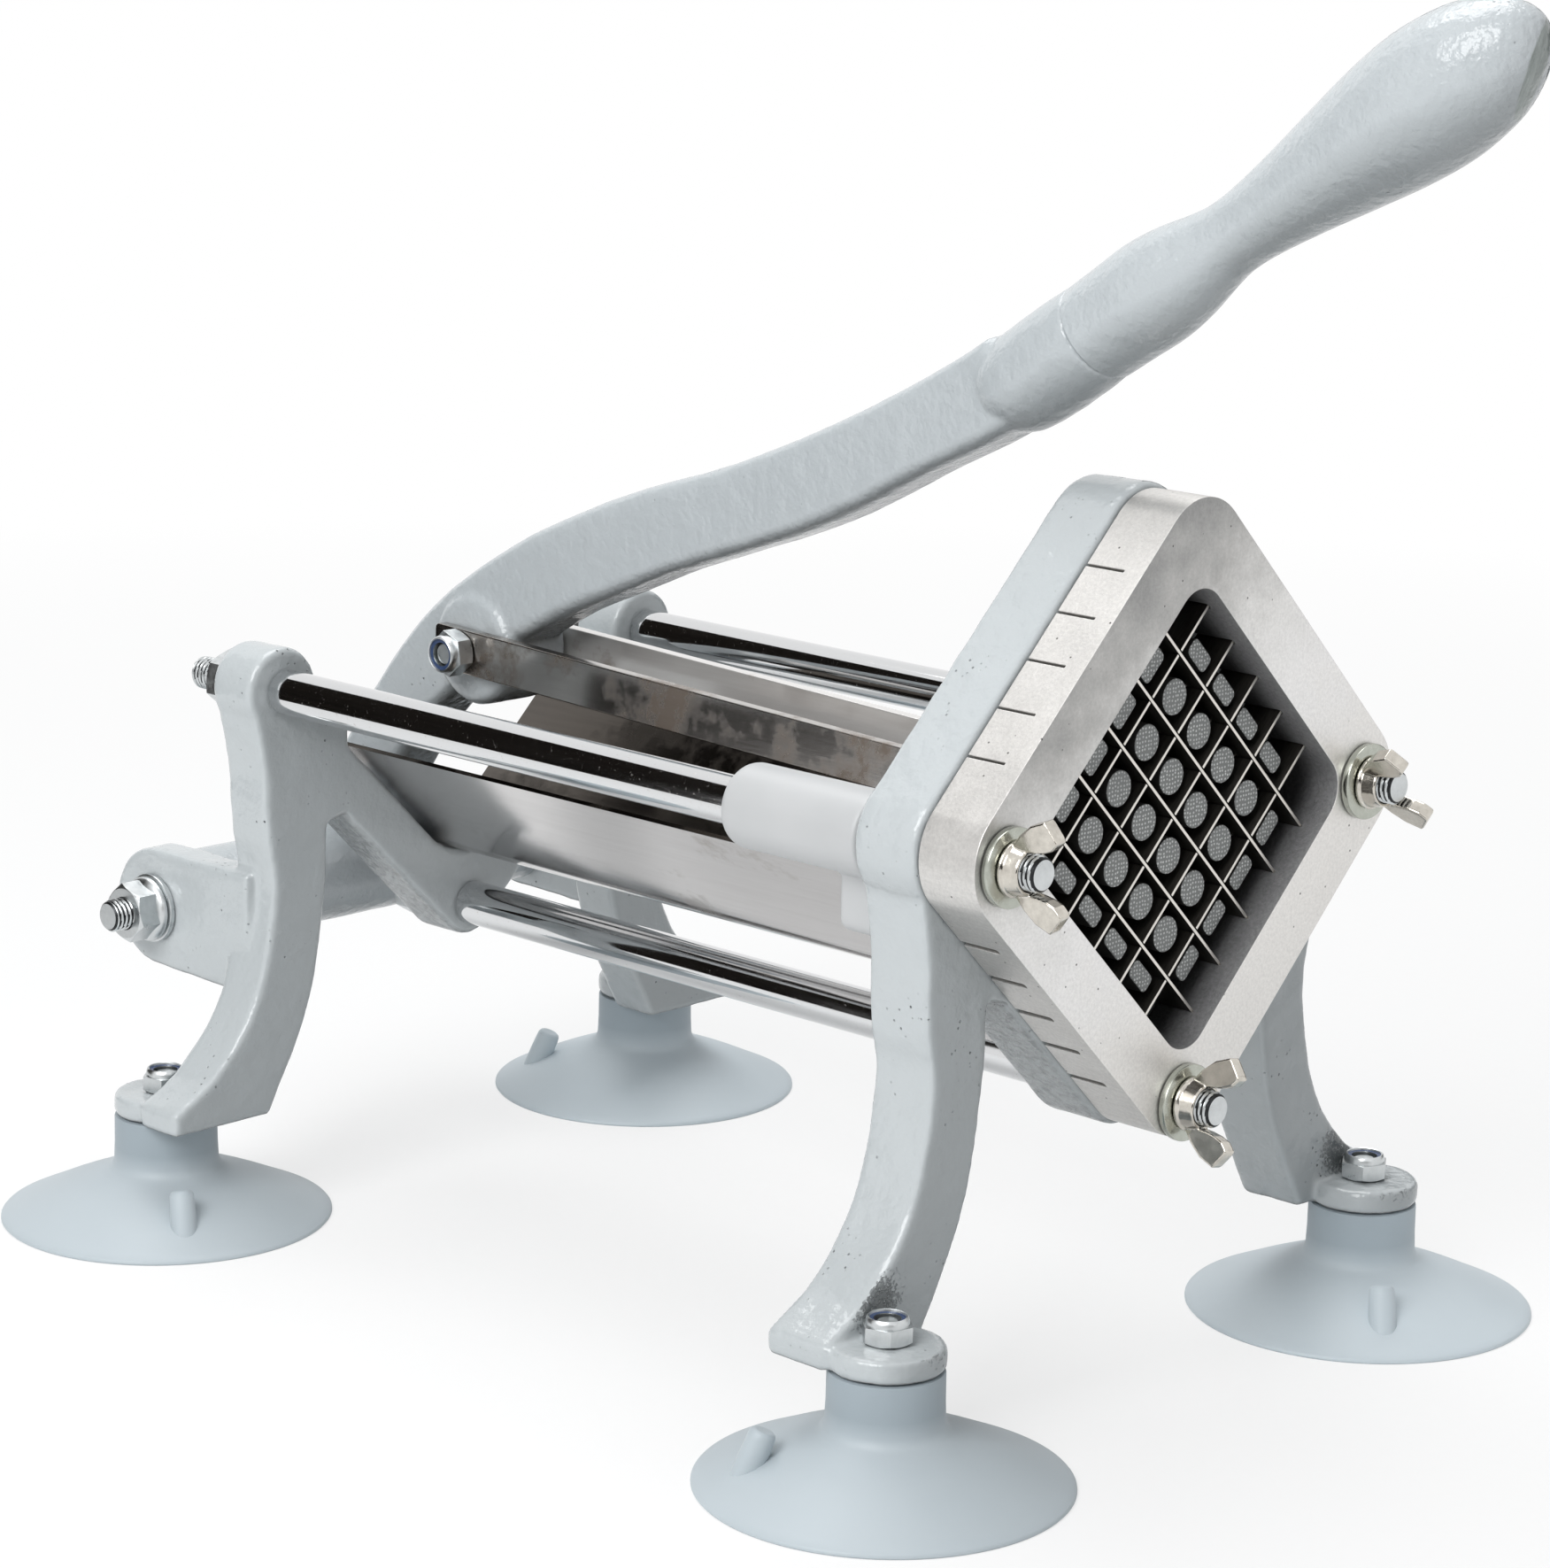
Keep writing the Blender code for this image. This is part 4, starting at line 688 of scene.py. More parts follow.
def tumbledFingerCasting():
    # tumbled aluminium fingers: mid grey with a fine punched grain, drawn at 0.95 mm so that it shows
    material, tree, place = newMaterial("tumbled cast fingers")
    spot = axes(tree, place)
    endOn = addNode(tree, "CombineXYZ", {0: spot[0], 1: spot[2]})
    cells = cellsAt(tree, endOn.outputs[0], 0.95, 0.4, voronoi_dimensions="2D")
    dots = span(tree, cells, 0.20, 0.32, 1.0, 0.0)
    cloud = noiseAt(tree, place, 5, 4)
    tone = blend(tree, dots, "#7d7f7e", "#d0d2d1")
    faint = span(tree, cloud, 0.35, 0.65, 0.0, 0.4)
    toned = blend(tree, faint, tone, "#7c7e7e")
    bump = raised(tree, dots, 0.5, 0.00015)
    return finished(material, {"Base Color": toned, "Normal": bump, "Metallic": 0.35, "Roughness": 0.5})


def fingerShadeCasting():
    # sides and base of the pusher's fingers: painted near black as painted shade between the fingers, so that
    # no light comes back
    material, tree, place = newMaterial("finger casting painted black as shade")
    cloud = noiseAt(tree, place, 2, 4, 0.6)
    tone = blend(tree, cloud, "#121211", "#2c2b29")
    bump = raised(tree, cloud, 0.3, 0.0002)
    return finished(material, {"Base Color": tone, "Normal": bump, "Roughness": 0.6, "IOR": 1.45})


def mouldedRubber():
    # compression-moulded rubber: soft, slightly waxy, clouded by its bloom, with a fine mould grain
    material, tree, place = newMaterial("moulded rubber")
    bloom = noiseAt(tree, place, 30, 4, 0.6)
    grainy = noiseAt(tree, place, 0.8, 3)
    split = axes(tree, place)
    # the upright neck is painted darker than the dome: painted shade
    dome = span(tree, split[2], 0.013, 0.018, 1.0, 0.0)
    neck = blend(tree, bloom, "#98a4ab", "#a7b2b9")
    skin = blend(tree, bloom, "#b6c1c7", "#c2cbd0")
    tone = blend(tree, dome, neck, skin)
    # the cups on the right are painted paler and the ones on the left darker: painted light
    lighterOnRight = span(tree, split[0], -0.06, 0.06, 0.95, 1.16)
    tone = blend(tree, 1.0, tone, lighterOnRight, blend_type="MULTIPLY")
    bump = raised(tree, grainy, 0.1, 0.0001)
    rough = span(tree, bloom, 0.3, 0.7, 0.42, 0.58)
    return finished(material, {"Base Color": tone, "Normal": bump, "Roughness": rough,
                               "IOR": 1.52, "Sheen Weight": 0.15})


def nylonInsert():
    # moulded nylon ring in the lock nuts: dull blue with a faint waxy shine
    material, tree, place = newMaterial("moulded nylon ring")
    cloud = noiseAt(tree, place, 1.5, 3)
    tone = blend(tree, cloud, "#1c2c4e", "#3a5078")
    return finished(material, {"Base Color": tone, "Roughness": 0.35, "IOR": 1.53})


footPatch = {"x": 79.0, "z": 37.5, "solid": 3.0, "reach": 10.5}
frontEnamel = enamelOnSandCasting("enamel on sand cast iron front frame", undersideShadeAndGrit=1.0, feet=footPatch)
rearEnamel = enamelOnSandCasting("enamel on sand cast iron rear frame", undersideShadeAndGrit=1.0)
# the lever and the grip get a much darker under colour, a painted shade on their undersides
leverEnamel = enamelOnSandCasting("enamel on sand cast iron lever", pits=0.2, waves=1.5, low="#b3b9bc",
                                  high="#bbc1c4", front="#b3b8bb", under="#8f9496")
filedBand = {"place": (-2.6, -78.8, 294.2), "along": (-0.3208, 0.0185, -0.9469),
             "across": (0.6395, -0.7332, -0.2310), "inwards": (0.6986, 0.6797, -0.2234),
             "length": 22.0, "width": 3.7, "depth": 14.0}
gripEnamel = enamelOnSandCasting("enamel on sand cast iron grip", pits=0.2, waves=2.0, low="#b7bdc0",
                                 high="#bfc5c8", front="#b9bec1", under="#8f9496", filed=filedBand)
aluminium = milledAluminium()
sandAluminium = sandCastAluminium()
chrome = chromePlatedRod()
troughSteel = brightRolledSheet("bright rolled stainless trough", "#cbc8c7", "#e0dedd", "#a49d95", 0.60)
# the trough's inside is the same sheet painted dark, a painted dark reflection, with its dust
troughInsideShade = brightRolledSheet("stainless inside painted dark", "#433e39", "#5e5852", "#37322c", 0.50)
linkSteel = brightRolledSheet("bright flat steel link", "#aaa6a2", "#c2bfbc", "#7a6a5c", 0.50)
# the right link is the same steel painted lighter than the left: painted light
linkSteelLit = brightRolledSheet("flat steel link painted lighter", "#d8d5d2", "#efedeb", "#9a8d80", 0.58, metal=0.55)
zinc = platedSteel("zinc plate on steel", "#b3b7b8", "#dee1e2", 0.26)
washerZinc = platedSteel("yellowed zinc plate on washer", "#9da096", "#c8cbc2", 0.16)
# the root of the thread is painted dark: painted shade in the groove
threadRootShade = platedSteel("thread root painted dark", "#1d1e1f", "#4c4e50", 0.3)
nickel = platedSteel("nickel plate on die cast wing nut", "#a9a49c", "#e9e4da", 0.09)
bladeEdge = groundBladeSteel("honed stainless blade edge", "#d2cdc5", "#f3f0ea")
bladeFlatShade = groundBladeSteel("stainless blade flat painted dark", "#2f2d2a", "#6b6762")
slideCoat = paleDieCasting()
fingerCast = tumbledFingerCasting()
fingerShade = fingerShadeCasting()
rubber = mouldedRubber()
nylon = nylonInsert()
print("materials are made")


# Front frame

frontFrameShape = {
    "front": 15.8, "back": 33.3, "blockSide": 109.5, "corner": 15.0, "opening": 76.4, "openingCorner": 8.0,
    "edge": 1.6, "grain": 0.8, "passes": 4,
    "outer": [(68.04, 122.27), (65.75, 108.18), (65.66, 100.0), (65.0, 91.83), (63.3, 82.74),
              (64.23, 72.29), (66.71, 61.39), (70.27, 52.75), (75.7, 45.03), (83.14, 37.76)],
    "footX": 81.6, "footY": 10.4, "padLow": 26.2, "padHigh": 31.4, "padRadius": 12.6,
}
legInner = [(60.2, 35.12), (54.2, 46.76), (50.95, 56.07), (48.9, 65.38), (47.3, 75.62), (46.4, 87.26),
            (46.1, 96.57)]
legFoot = {"outer": 94.3, "inner": 65.1, "low": 26.2, "high": 31.4, "padInset": 2.4}
legStart = 40.7                       # where the web meets the leg's inner side


def legPoints(outer):
    # from the web down the inner side, round the foot and up the outer side
    points = list(reversed(smoothLine(legInner)))
    points += [(legFoot["inner"], legFoot["low"]), (legFoot["outer"], legFoot["low"]),
               (legFoot["outer"], legFoot["high"])]
    return points + list(reversed(smoothLine(outer)))


def footPad(side, shape, tongueY):
    # a round lobe for the cup's stud, drawn back under the leg
    half = legFoot["outer"] - legFoot["padInset"] - shape["footX"]
    start = math.degrees(math.acos(half / shape["padRadius"]))
    away = 1 if shape["footY"] > tongueY else -1
    lobe = arc(0, 0, shape["padRadius"], -start, 180 + start, 36)
    loop = [(shape["footX"] + x, shape["footY"] + away * y) for x, y in lobe]
    loop += [(shape["footX"] - half, tongueY), (shape["footX"] + half, tongueY)]
    loop = [(side * x, y) for x, y in loop]
    thick = shape["padHigh"] - shape["padLow"]
    return traced("pad", [loop], thick, 1.0, "top", (shape["padHigh"] + shape["padLow"]) / 2)


def frontFrameLoop(shape):
    reach = shape["blockSide"] / math.sqrt(2) - shape["corner"] * math.sqrt(2)
    lowZ = middleZ - shape["blockSide"] / math.sqrt(2)
    right = arc(0, middleZ - reach, shape["corner"], -90, -45, 8)
    right += [(legStart, lowZ + legStart)]
    right += legPoints(shape["outer"])
    right += arc(reach, middleZ, shape["corner"], -38, 45, 12)[1:]
    right += arc(0, middleZ + reach, shape["corner"], 45, 90, 8)
    return mirroredLoop(right)


def castFrame(name, shape, loops, sides):
    # web, feet and ears run together as one casting, drilled for the studs, the rods and the pivot
    middle = (shape["front"] + shape["back"]) / 2
    web = traced("plate", loops, shape["back"] - shape["front"], shape["edge"], "front", middle)
    piece = joined(name, web, *sides)
    holes = [drill(boltHole, 20, side * shape["footX"], shape["footY"], 28, "z") for side in (-1, 1)]
    holes += [drill(rodHole, 40, x, middle, z, "y") for word, x, z in rodSpots]
    if "pivotY" in shape:
        holes.append(drill(rodHole, 200, 0, shape["pivotY"], shape["pivotZ"], "x"))
    return asCast(piece, shape["grain"], shape["passes"], holes, 0.5)


shape = frontFrameShape
frontLoops = [frontFrameLoop(shape), diamond(shape["opening"], shape["openingCorner"], middleZ)]
pads = [footPad(side, shape, shape["back"] - 3) for side in (-1, 1)]
frontFrame = castFrame("frontFrame", shape, frontLoops, pads)
install(frontFrame, "base", frontEnamel, "front_frame")
print("front frame is cast")


# Rear frame with its two ears

rearFrameShape = {
    "front": 232.0, "back": 247.0, "edge": 1.6, "grain": 0.8, "passes": 4,
    "outer": [(68.9, 125.94), (66.0, 111.28), (65.72, 102.77), (65.0, 94.27), (63.3, 84.81),
              (64.23, 73.94), (66.71, 62.6), (70.27, 53.62), (75.7, 45.58), (83.14, 38.02)],
    "bossRadius": 10.5, "lowBossRadius": 8.5, "notchLow": 75.69, "web": 13.2, "notchHalf": 39.2,
    "notchTop": 130.0, "notchRound": 17.3, "footX": 81.6, "footY": 252.4, "padLow": 26.2, "padHigh": 31.4,
    "padRadius": 12.6, "earInner": 56.5, "earThick": 9.5, "earRadius": 14.8, "earOut": 0.8, "earFall": 1.0,
    "pivotY": 276.0, "pivotZ": 70.5,
}


def rearFrameLoop(shape):
    webLow = shape["notchLow"] - shape["web"] * math.sqrt(2)
    right = arc(0, lowRodZ, shape["lowBossRadius"], -90, -38, 8)
    right += [(legStart, webLow + legStart)]
    right += legPoints(shape["outer"])
    topStart = math.degrees(math.asin((shape["notchTop"] - middleZ) / shape["bossRadius"]))
    right += arc(rodX, middleZ, shape["bossRadius"], -32, 180 - topStart, 24)[1:]
    half = shape["notchHalf"]
    right += [(half, shape["notchTop"]), (half, shape["notchLow"] + half)]
    bendZ = shape["notchLow"] + shape["notchRound"] * math.sqrt(2)
    bend = arc(0, bendZ, shape["notchRound"], -90, -45, 8)
    return mirroredLoop(right + list(reversed(bend)))


def ear(side, shape):
    root = (shape["front"] + shape["back"]) / 2
    loop = [(root, shape["pivotZ"] - shape["earRadius"] - shape["earFall"])]
    loop += arc(shape["pivotY"] + shape["earOut"], shape["pivotZ"], shape["earRadius"], -90, 90, 24)
    loop += [(root, shape["pivotZ"] + shape["earRadius"])]
    middle = side * (shape["earInner"] + shape["earThick"] / 2)
    return traced("ear", [loop], shape["earThick"], 1.2, "side", middle)


shape = rearFrameShape
padsAndEars = []
for side in (-1, 1):
    padsAndEars += [footPad(side, shape, shape["front"] + 3), ear(side, shape)]
rearFrame = castFrame("rearFrame", shape, [rearFrameLoop(shape)], padsAndEars)
install(rearFrame, "base", rearEnamel, "rear_frame")
print("rear frame is cast")


# Blade block and its grid of blades

blockShape = {
    "side": 107.5, "depth": 15.5, "corner": 14.0, "opening": 76.2, "openingCorner": 8.0, "edge": 0.5,
    "pitch": 12.7, "inset": 5.2, "slotWide": 1.6, "slotNarrow": 0.6,
}
bladeShape = {"thick": 0.7, "length": 98.0, "front": 5.5, "back": 15.5, "gap": 0.3, "edge": 0.1}
gridOffsets = [(i - 2) * blockShape["pitch"] for i in range(5)]


def slotCutter(width, along):
    boxes = []
    deep = blockShape["depth"] - blockShape["inset"] + 3
    for offset in gridOffsets:
        deselectAll()
        bpy.ops.mesh.primitive_cube_add(size=1)
        box = named("slot")
        box.dimensions = (120 * mm, deep * mm, width * mm)
        box.location = (0, 0, offset * mm)
        settle(box)
        # round the slot's end like the cutter that made it
        modify(box, "BEVEL", width=width * 0.4 * mm, segments=3, limit_method="ANGLE",
               angle_limit=math.radians(60))
        boxes.append(box)
    cutter = joined("slots", *boxes)
    middle = at(0, blockShape["inset"] + deep / 2, middleZ)
    return put(cutter, Matrix.Translation(middle) @ spun(along, "Y"))


shape = blockShape
bladeBlock = traced("bladeBlock", [diamond(shape["side"], shape["corner"], middleZ, 16),
                                   diamond(shape["opening"], shape["openingCorner"], middleZ, 12)],
                    shape["depth"], 0, "front", shape["depth"] / 2)
modify(bladeBlock, "DECIMATE", decimate_type="DISSOLVE", angle_limit=math.radians(0.5))
cutWith(bladeBlock, *[drill(rodHole, 40, x, 8, z, "y") for word, x, z in rodSpots])
cutWith(bladeBlock, slotCutter(shape["slotWide"], -45))
cutWith(bladeBlock, slotCutter(shape["slotNarrow"], 45))
crisped(bladeBlock, shape["edge"], segments=3, angle=50)
install(bladeBlock, "base", None, "blade_block")


def isInOpening(polygon):
    x, z = polygon.center.x, polygon.center.z - middleZ * mm
    reach = max(abs(x + z), abs(x - z)) / math.sqrt(2)
    return reach < (blockShape["opening"] / 2 + 0.15) * mm and abs(polygon.normal.y) < 0.5


# the walls inside the opening get the dark sand cast look, a painted shade
paintWhere(bladeBlock, aluminium, sandAluminium, isInOpening)


def bladeLoop(shape, notchFront):
    near, far = (shape["front"], shape["back"]) if notchFront else (shape["back"], shape["front"])
    middle = (shape["front"] + shape["back"]) / 2
    deep = middle + shape["gap"] / 2 if notchFront else middle - shape["gap"] / 2
    halfNotch = shape["thick"] / 2 + shape["gap"]
    half = shape["length"] / 2
    loop = [(-half, far), (-half, near)]
    for s in gridOffsets:
        loop += [(s - halfNotch, near), (s - halfNotch, deep), (s + halfNotch, deep),
                 (s + halfNotch, near)]
    return loop + [(half, near), (half, far)]


for letter, along, notchFront in (("a", -45, True), ("b", 45, False)):
    for number in range(5):
        blade = traced("blade_%s%d" % (letter, number + 1), [bladeLoop(bladeShape, notchFront)],
                       bladeShape["thick"], bladeShape["edge"], "flat", rounds=1)
        offset = Matrix.Translation((0, 0, gridOffsets[4 - number] * mm))
        put(blade, Matrix.Translation(at(0, 0, middleZ)) @ spun(along, "Y") @ offset)
        smoothed(blade, 30)
        install(blade, "base", None, "blade_%s_%d" % (letter, number + 1))
        # the blade flats are painted near black as a painted dark reflection; the faces towards the front
        # keep the bright edge steel
        paintWhere(blade, bladeFlatShade, bladeEdge, lambda polygon: polygon.normal.y < -0.3)
print("block and blades are cut")


# Threads, nuts, washers and wing nuts

def threaded(name, radius, pitch, start, end, chamfer, steps=36):
    # a screw thread from start to end, its ends run down to a chamfer
    rows = int((end - start) / pitch * 8) + 1
    depth = pitch * 0.54
    piece = cylinder(name, radius, start, end, steps)
    bpy.ops.object.mode_set(mode="EDIT")
    bpy.ops.mesh.select_mode(type="EDGE")
    bpy.ops.mesh.select_all(action="DESELECT")
    bpy.ops.object.mode_set(mode="OBJECT")
    for edge in piece.data.edges:
        a, b = (piece.data.vertices[i].co for i in edge.vertices)
        edge.select = abs(a.z - b.z) > (end - start) * mm * 0.5
    bpy.ops.object.mode_set(mode="EDIT")
    bpy.ops.mesh.subdivide_edgering(number_cuts=rows, smoothness=0)
    bpy.ops.object.mode_set(mode="OBJECT")
    for vertex in piece.data.vertices:
        co = vertex.co
        if co.xy.length < radius * mm * 0.5:
            continue
        z = co.z / mm
        wave = (z / pitch - math.atan2(co.y, co.x) / (2 * math.pi)) % 1
        cutDepth = depth * min(1, max(0, abs(wave - 0.5) * 2.6 - 0.15))
        here = radius - cutDepth
        fromTip = min(z - start, end - z)
        here = min(here, radius - chamfer + fromTip) if fromTip < chamfer else here
        vertex.co.xy = co.xy.normalized() * here * mm
    # the faces at the root of the thread are painted dark as painted shade in the groove
    low, high = radius * 0.5 * mm, (radius - depth * 0.55) * mm
    paintWhere(piece, zinc, threadRootShade, lambda polygon: low < polygon.center.xy.length < high)
    return smoothed(outward(piece), 25)


def hexBlank(name, across, low, high, bore, chamferTop=True):
    # hexagon bar with the curved corner chamfers that facing it on a lathe leaves
    corner = across / math.sqrt(3)
    flat = across / 2 * 0.97
    rise = (corner - flat) * 0.58
    piece = cylinder(name, corner, low, high, 6)
    out, above, below = corner + 0.05, high + 0.01, low - 0.01
    profile = [(0, above)] + ([(flat, above), (out, high - rise)] if chamferTop else [(out, above)])
    profile += [(out, low + rise), (flat, below), (0, below)]
    cutWith(piece, turned("facing", profile, 64), operation="INTERSECT")
    if bore:
        cutWith(piece, cylinder("bore", bore, low - 5, high + 5, 40))
    modify(piece, "BEVEL", width=0.12 * mm, segments=2, limit_method="ANGLE",
           angle_limit=math.radians(24))
    return modify(smoothed(piece, 24), "WEIGHTED_NORMAL", keep_sharp=True)


def lockNut(name, across, height, bore):
    # hexagon with a rolled collar over a nylon ring, its seat at z = 0
    hexTop = height * 0.68
    inner = bore + 0.15
    body = hexBlank(name, across, 0, hexTop, bore + 0.2, chamferTop=False)
    rim = across / 2
    collar = turned("collar", [(inner, hexTop - 0.3), (rim * 0.94, hexTop - 0.3),
                               (rim * 0.94, hexTop + 0.1), (rim * 0.93, height - 1.0),
                               (rim * 0.89, height - 0.25), (rim * 0.83, height),
                               (rim * 0.78, height - 0.12), (rim * 0.765, height - 0.5),
                               (inner - 0.2, height - 0.6), (inner, hexTop - 0.3)], 48)
    paint(body, zinc, nylon)
    ringReach, ringLow = rim * 0.763 * mm, (height - 0.8) * mm
    paintWhere(collar, zinc, nylon, lambda polygon: polygon.center.xy.length < ringReach
               and polygon.center.z > ringLow)
    return joined(name, body, collar)


def washerPiece(name, outer, inner, thick):
    e = 0.25
    return turned(name, [(inner, thick / 2), (outer - e, thick / 2),
                         (outer - e * 0.3, thick / 2 - e * 0.3), (outer, thick / 2 - e),
                         (outer, -thick / 2 + e), (outer - e * 0.3, -thick / 2 + e * 0.3),
                         (outer - e, -thick / 2), (inner, -thick / 2), (inner, thick / 2)], 64)


wingNutShape = {
    "seat": -2.2, "base": 6.1, "hub": 5.6, "baseTop": 0.8, "hubTop": 4.5, "bore": 4.15, "tip": (12.4, 9.6),
    "chord": 5.8, "corner": 1.1, "thick": 3.3, "grain": 0.2, "under": [(8.1, 2.8), (10.6, 5.8)],
    "over": [(6.1, 11.3), (5.2, 9.0), (4.75, 6.6)], "root": 4.6,
    "turns": {"left": -7.0, "right": -40.0, "low": 12.0},
}


def wingNut(shape):
    top, low = shape["hubTop"], shape["baseTop"]
    hub = turned("hub", [(shape["bore"], top - 0.2), (shape["bore"] + 0.3, top), (4.7, top),
                         (4.95, top - 0.3), (shape["hub"], low + 0.2), (shape["base"] - 0.1, low),
                         (shape["base"], low - 0.15), (shape["base"], 0.15), (shape["base"] - 0.2, 0),
                         (shape["bore"], 0), (shape["bore"], top - 0.2)], 64)
    root, tip = Vector((shape["hub"], low)), Vector(shape["tip"])
    along = (tip - root).normalized()
    across = Vector((-along.y, along.x))
    chord, corner = shape["chord"], shape["corner"]
    loop = [(shape["root"], low), root, *shape["under"], tip - along * corner,
            tip - along * 0.2 + across * 0.25, tip + across * corner, tip + across * (chord - corner),
            tip + across * (chord - 0.25) - along * 0.2, tip + across * chord - along * corner,
            *shape["over"], (shape["root"], top)]
    wings = []
    for side in (-1, 1):
        wing = traced("wing", [[(side * u, v) for u, v in loop]], shape["thick"], 0.4, "flat")
        wings.append(put(wing, spun(90, "X")))
    piece = joined("wingNut", hub, *wings)
    modify(piece, "REMESH", mode="VOXEL", voxel_size=shape["grain"] * mm, adaptivity=0)
    modify(piece, "SMOOTH", factor=0.5, iterations=2)
    return smoothed(piece, 60)


wingPlaces = [(word, atAxis(x, wingNutShape["seat"], z, "-y") @ spun(90 - wingNutShape["turns"][word]))
              for word, x, z in rodSpots]
handOut(wingNut(wingNutShape), wingPlaces, "wingNut_", "wing_{}", nickel, "wing_nut_")

washerShape = {"outer": 8.6, "inner": 4.3, "thick": 1.6, "middle": -1.1}
frontWasher = washerPiece("washer", washerShape["outer"], washerShape["inner"], washerShape["thick"])
washerPlaces = [(word, atAxis(x, washerShape["middle"], z, "-y")) for word, x, z in rodSpots]
handOut(frontWasher, washerPlaces, "frontWasher_", "base", washerZinc, "front_washer_")

rearNutShape = {"across": 13.0, "height": 6.5, "seat": 247.3, "turns": {"left": 8, "right": 20, "low": 0}}
rearNut = hexBlank("rearNut", rearNutShape["across"], 0, rearNutShape["height"], rodHole)
rearNutPlaces = [(word, atAxis(x, rearNutShape["seat"], z, "y") @ spun(rearNutShape["turns"][word]))
                 for word, x, z in rodSpots]
handOut(rearNut, rearNutPlaces, "rearNut_", "base", zinc, "rear_nut_")

footNutShape = {"across": 10.0, "height": 5.6, "bore": 3.0, "seat": 31.7,
                "turns": {"front_left": 20, "front_right": 5, "rear_left": 12, "rear_right": 28}}
footNut = lockNut("footNut", footNutShape["across"], footNutShape["height"], footNutShape["bore"])
footNutPlaces = [(word, atAxis(x, y, footNutShape["seat"], "z") @ spun(footNutShape["turns"][word]))
                 for word, x, y in footSpots]
handOut(footNut, footNutPlaces, "footNut_", "base", None, "foot_nut_")
print("nuts and washers are turned")


# Rods with their studs

rodShape = {"radius": 5.5, "core": 3.6, "stud": 4.0, "pitch": 1.25, "chamfer": 0.8, "front": 33.6,
            "rear": 231.7, "tipFront": -9.8, "tipRear": {"left": 263.5, "right": 263.5, "low": 257.0}}


def rodPiece(word, shape):
    core, front, rear = shape["core"], shape["front"], shape["rear"]
    edge = shape["radius"] - 0.4
    bar = turned("bar", [(0, front - 30), (core, front - 30), (core, front), (edge, front),
                         (shape["radius"], front + 0.4), (shape["radius"], rear - 0.4), (edge, rear),
                         (core, rear), (core, rear + 14), (0, rear + 14)], 64)
    stud, pitch, chamfer = shape["stud"], shape["pitch"], shape["chamfer"]
    frontStud = threaded("front", stud, pitch, shape["tipFront"], 8, chamfer)
    rearStud = threaded("rear", stud, pitch, 240, shape["tipRear"][word], chamfer)
    paint(bar, chrome)
    return joined("rodAndStuds_" + word, bar, frontStud, rearStud)


for word, x, z in rodSpots:
    rod = put(rodPiece(word, rodShape), atAxis(x, 0, z, "y"))
    install(rod, "base", None, "rod_" + word)
print("rods are ground")


# Trough

troughShape = {"start": 33.6, "end": 248.8, "half": 38.6, "bend": 17.0, "plane": 76.12, "sheet": 1.0}
shape = troughShape


def troughLine(shape, inwards):
    # across the trough from left to right, this far inside the sheet's outer face
    slide = inwards / math.sqrt(2)
    right = arc(0, shape["plane"] + shape["bend"] * math.sqrt(2), shape["bend"] - inwards, -90, -45, 14)
    right += [(shape["half"] - slide, shape["plane"] + shape["half"] + slide)]
    return [(-x, z) for x, z in reversed(right[1:])] + right


section = troughLine(shape, 0) + list(reversed(troughLine(shape, shape["sheet"])))
trough = traced("troughSheet", [section], shape["end"] - shape["start"], 0.2, "front",
                (shape["start"] + shape["end"]) / 2, rounds=1)
smoothed(trough, 30)
install(trough, "base", None, "trough")
# faces that look up, inside the trough, get the dark sheet: a painted dark reflection
paintWhere(trough, troughSteel, troughInsideShade, lambda polygon: polygon.normal.z > 0.5)
print("trough is bent")


# Pusher: the slide with its sleeves, and the finger block

slideShape = {
    "front": 34.5, "back": 46.0, "sleeveRadius": 9.5, "sleeveLength": 40.5, "rodBore": 5.8,
    "lugHalf": 10.0, "lugRadius": 9.0, "lugY": 64.0, "lugRoot": 40.0, "screwX": 24.0, "grain": 0.6,
    "passes": 4, "edge": 1.2, "side": 74.0, "corner": 16.0, "topCut": 1.1,
    "armLow": [(35.0, 118.1), (42.0, 118.1), (42.0, 109.0)],
    "armBend": (58.5, 112.0, 3.0), "armTop": (51.2, 133.7),
}


def slideLoop(shape):
    reach, bend = shape["side"] / math.sqrt(2), shape["corner"] * math.sqrt(2)
    x, z, radius = shape["armBend"]
    right = arc(0, middleZ - reach + bend, shape["corner"], -90, -45, 8)
    right += [(35.0, middleZ - reach + 35.0)] + shape["armLow"] + arc(x, z, radius, -90, 0, 6)
    right += [(x + radius, middleZ), shape["armTop"]]
    right += arc(0, middleZ + reach - shape["topCut"] - bend, shape["corner"], 45, 90, 8)
    return mirroredLoop(right)


shape = slideShape
middle = (shape["front"] + shape["back"]) / 2
thick = shape["back"] - shape["front"]
chunks = [traced("plate", [slideLoop(shape)], thick, shape["edge"], "front", middle)]
for side in (-1, 1):
    end, radius = shape["sleeveLength"], shape["sleeveRadius"]
    sleeve = turned("sleeve", [(0, 0), (radius - 0.8, 0), (radius - 0.2, 0.25), (radius, 0.8),
                               (radius, end - 2.2), (radius - 0.5, end - 0.9),
                               (radius - 1.3, end - 0.2), (radius - 2.4, end), (0, end)], 64)
    chunks.append(put(sleeve, atAxis(side * rodX, shape["front"], middleZ, "y")))
lugRadius, lugRoot = shape["lugRadius"], shape["lugRoot"]
lug = [(lugRoot, middleZ - lugRadius)] + arc(shape["lugY"], middleZ, lugRadius, -90, 90, 20)
lug += [(lugRoot, middleZ + lugRadius)]
chunks.append(traced("lug", [lug], 2 * shape["lugHalf"], 1.0, "side", 0))
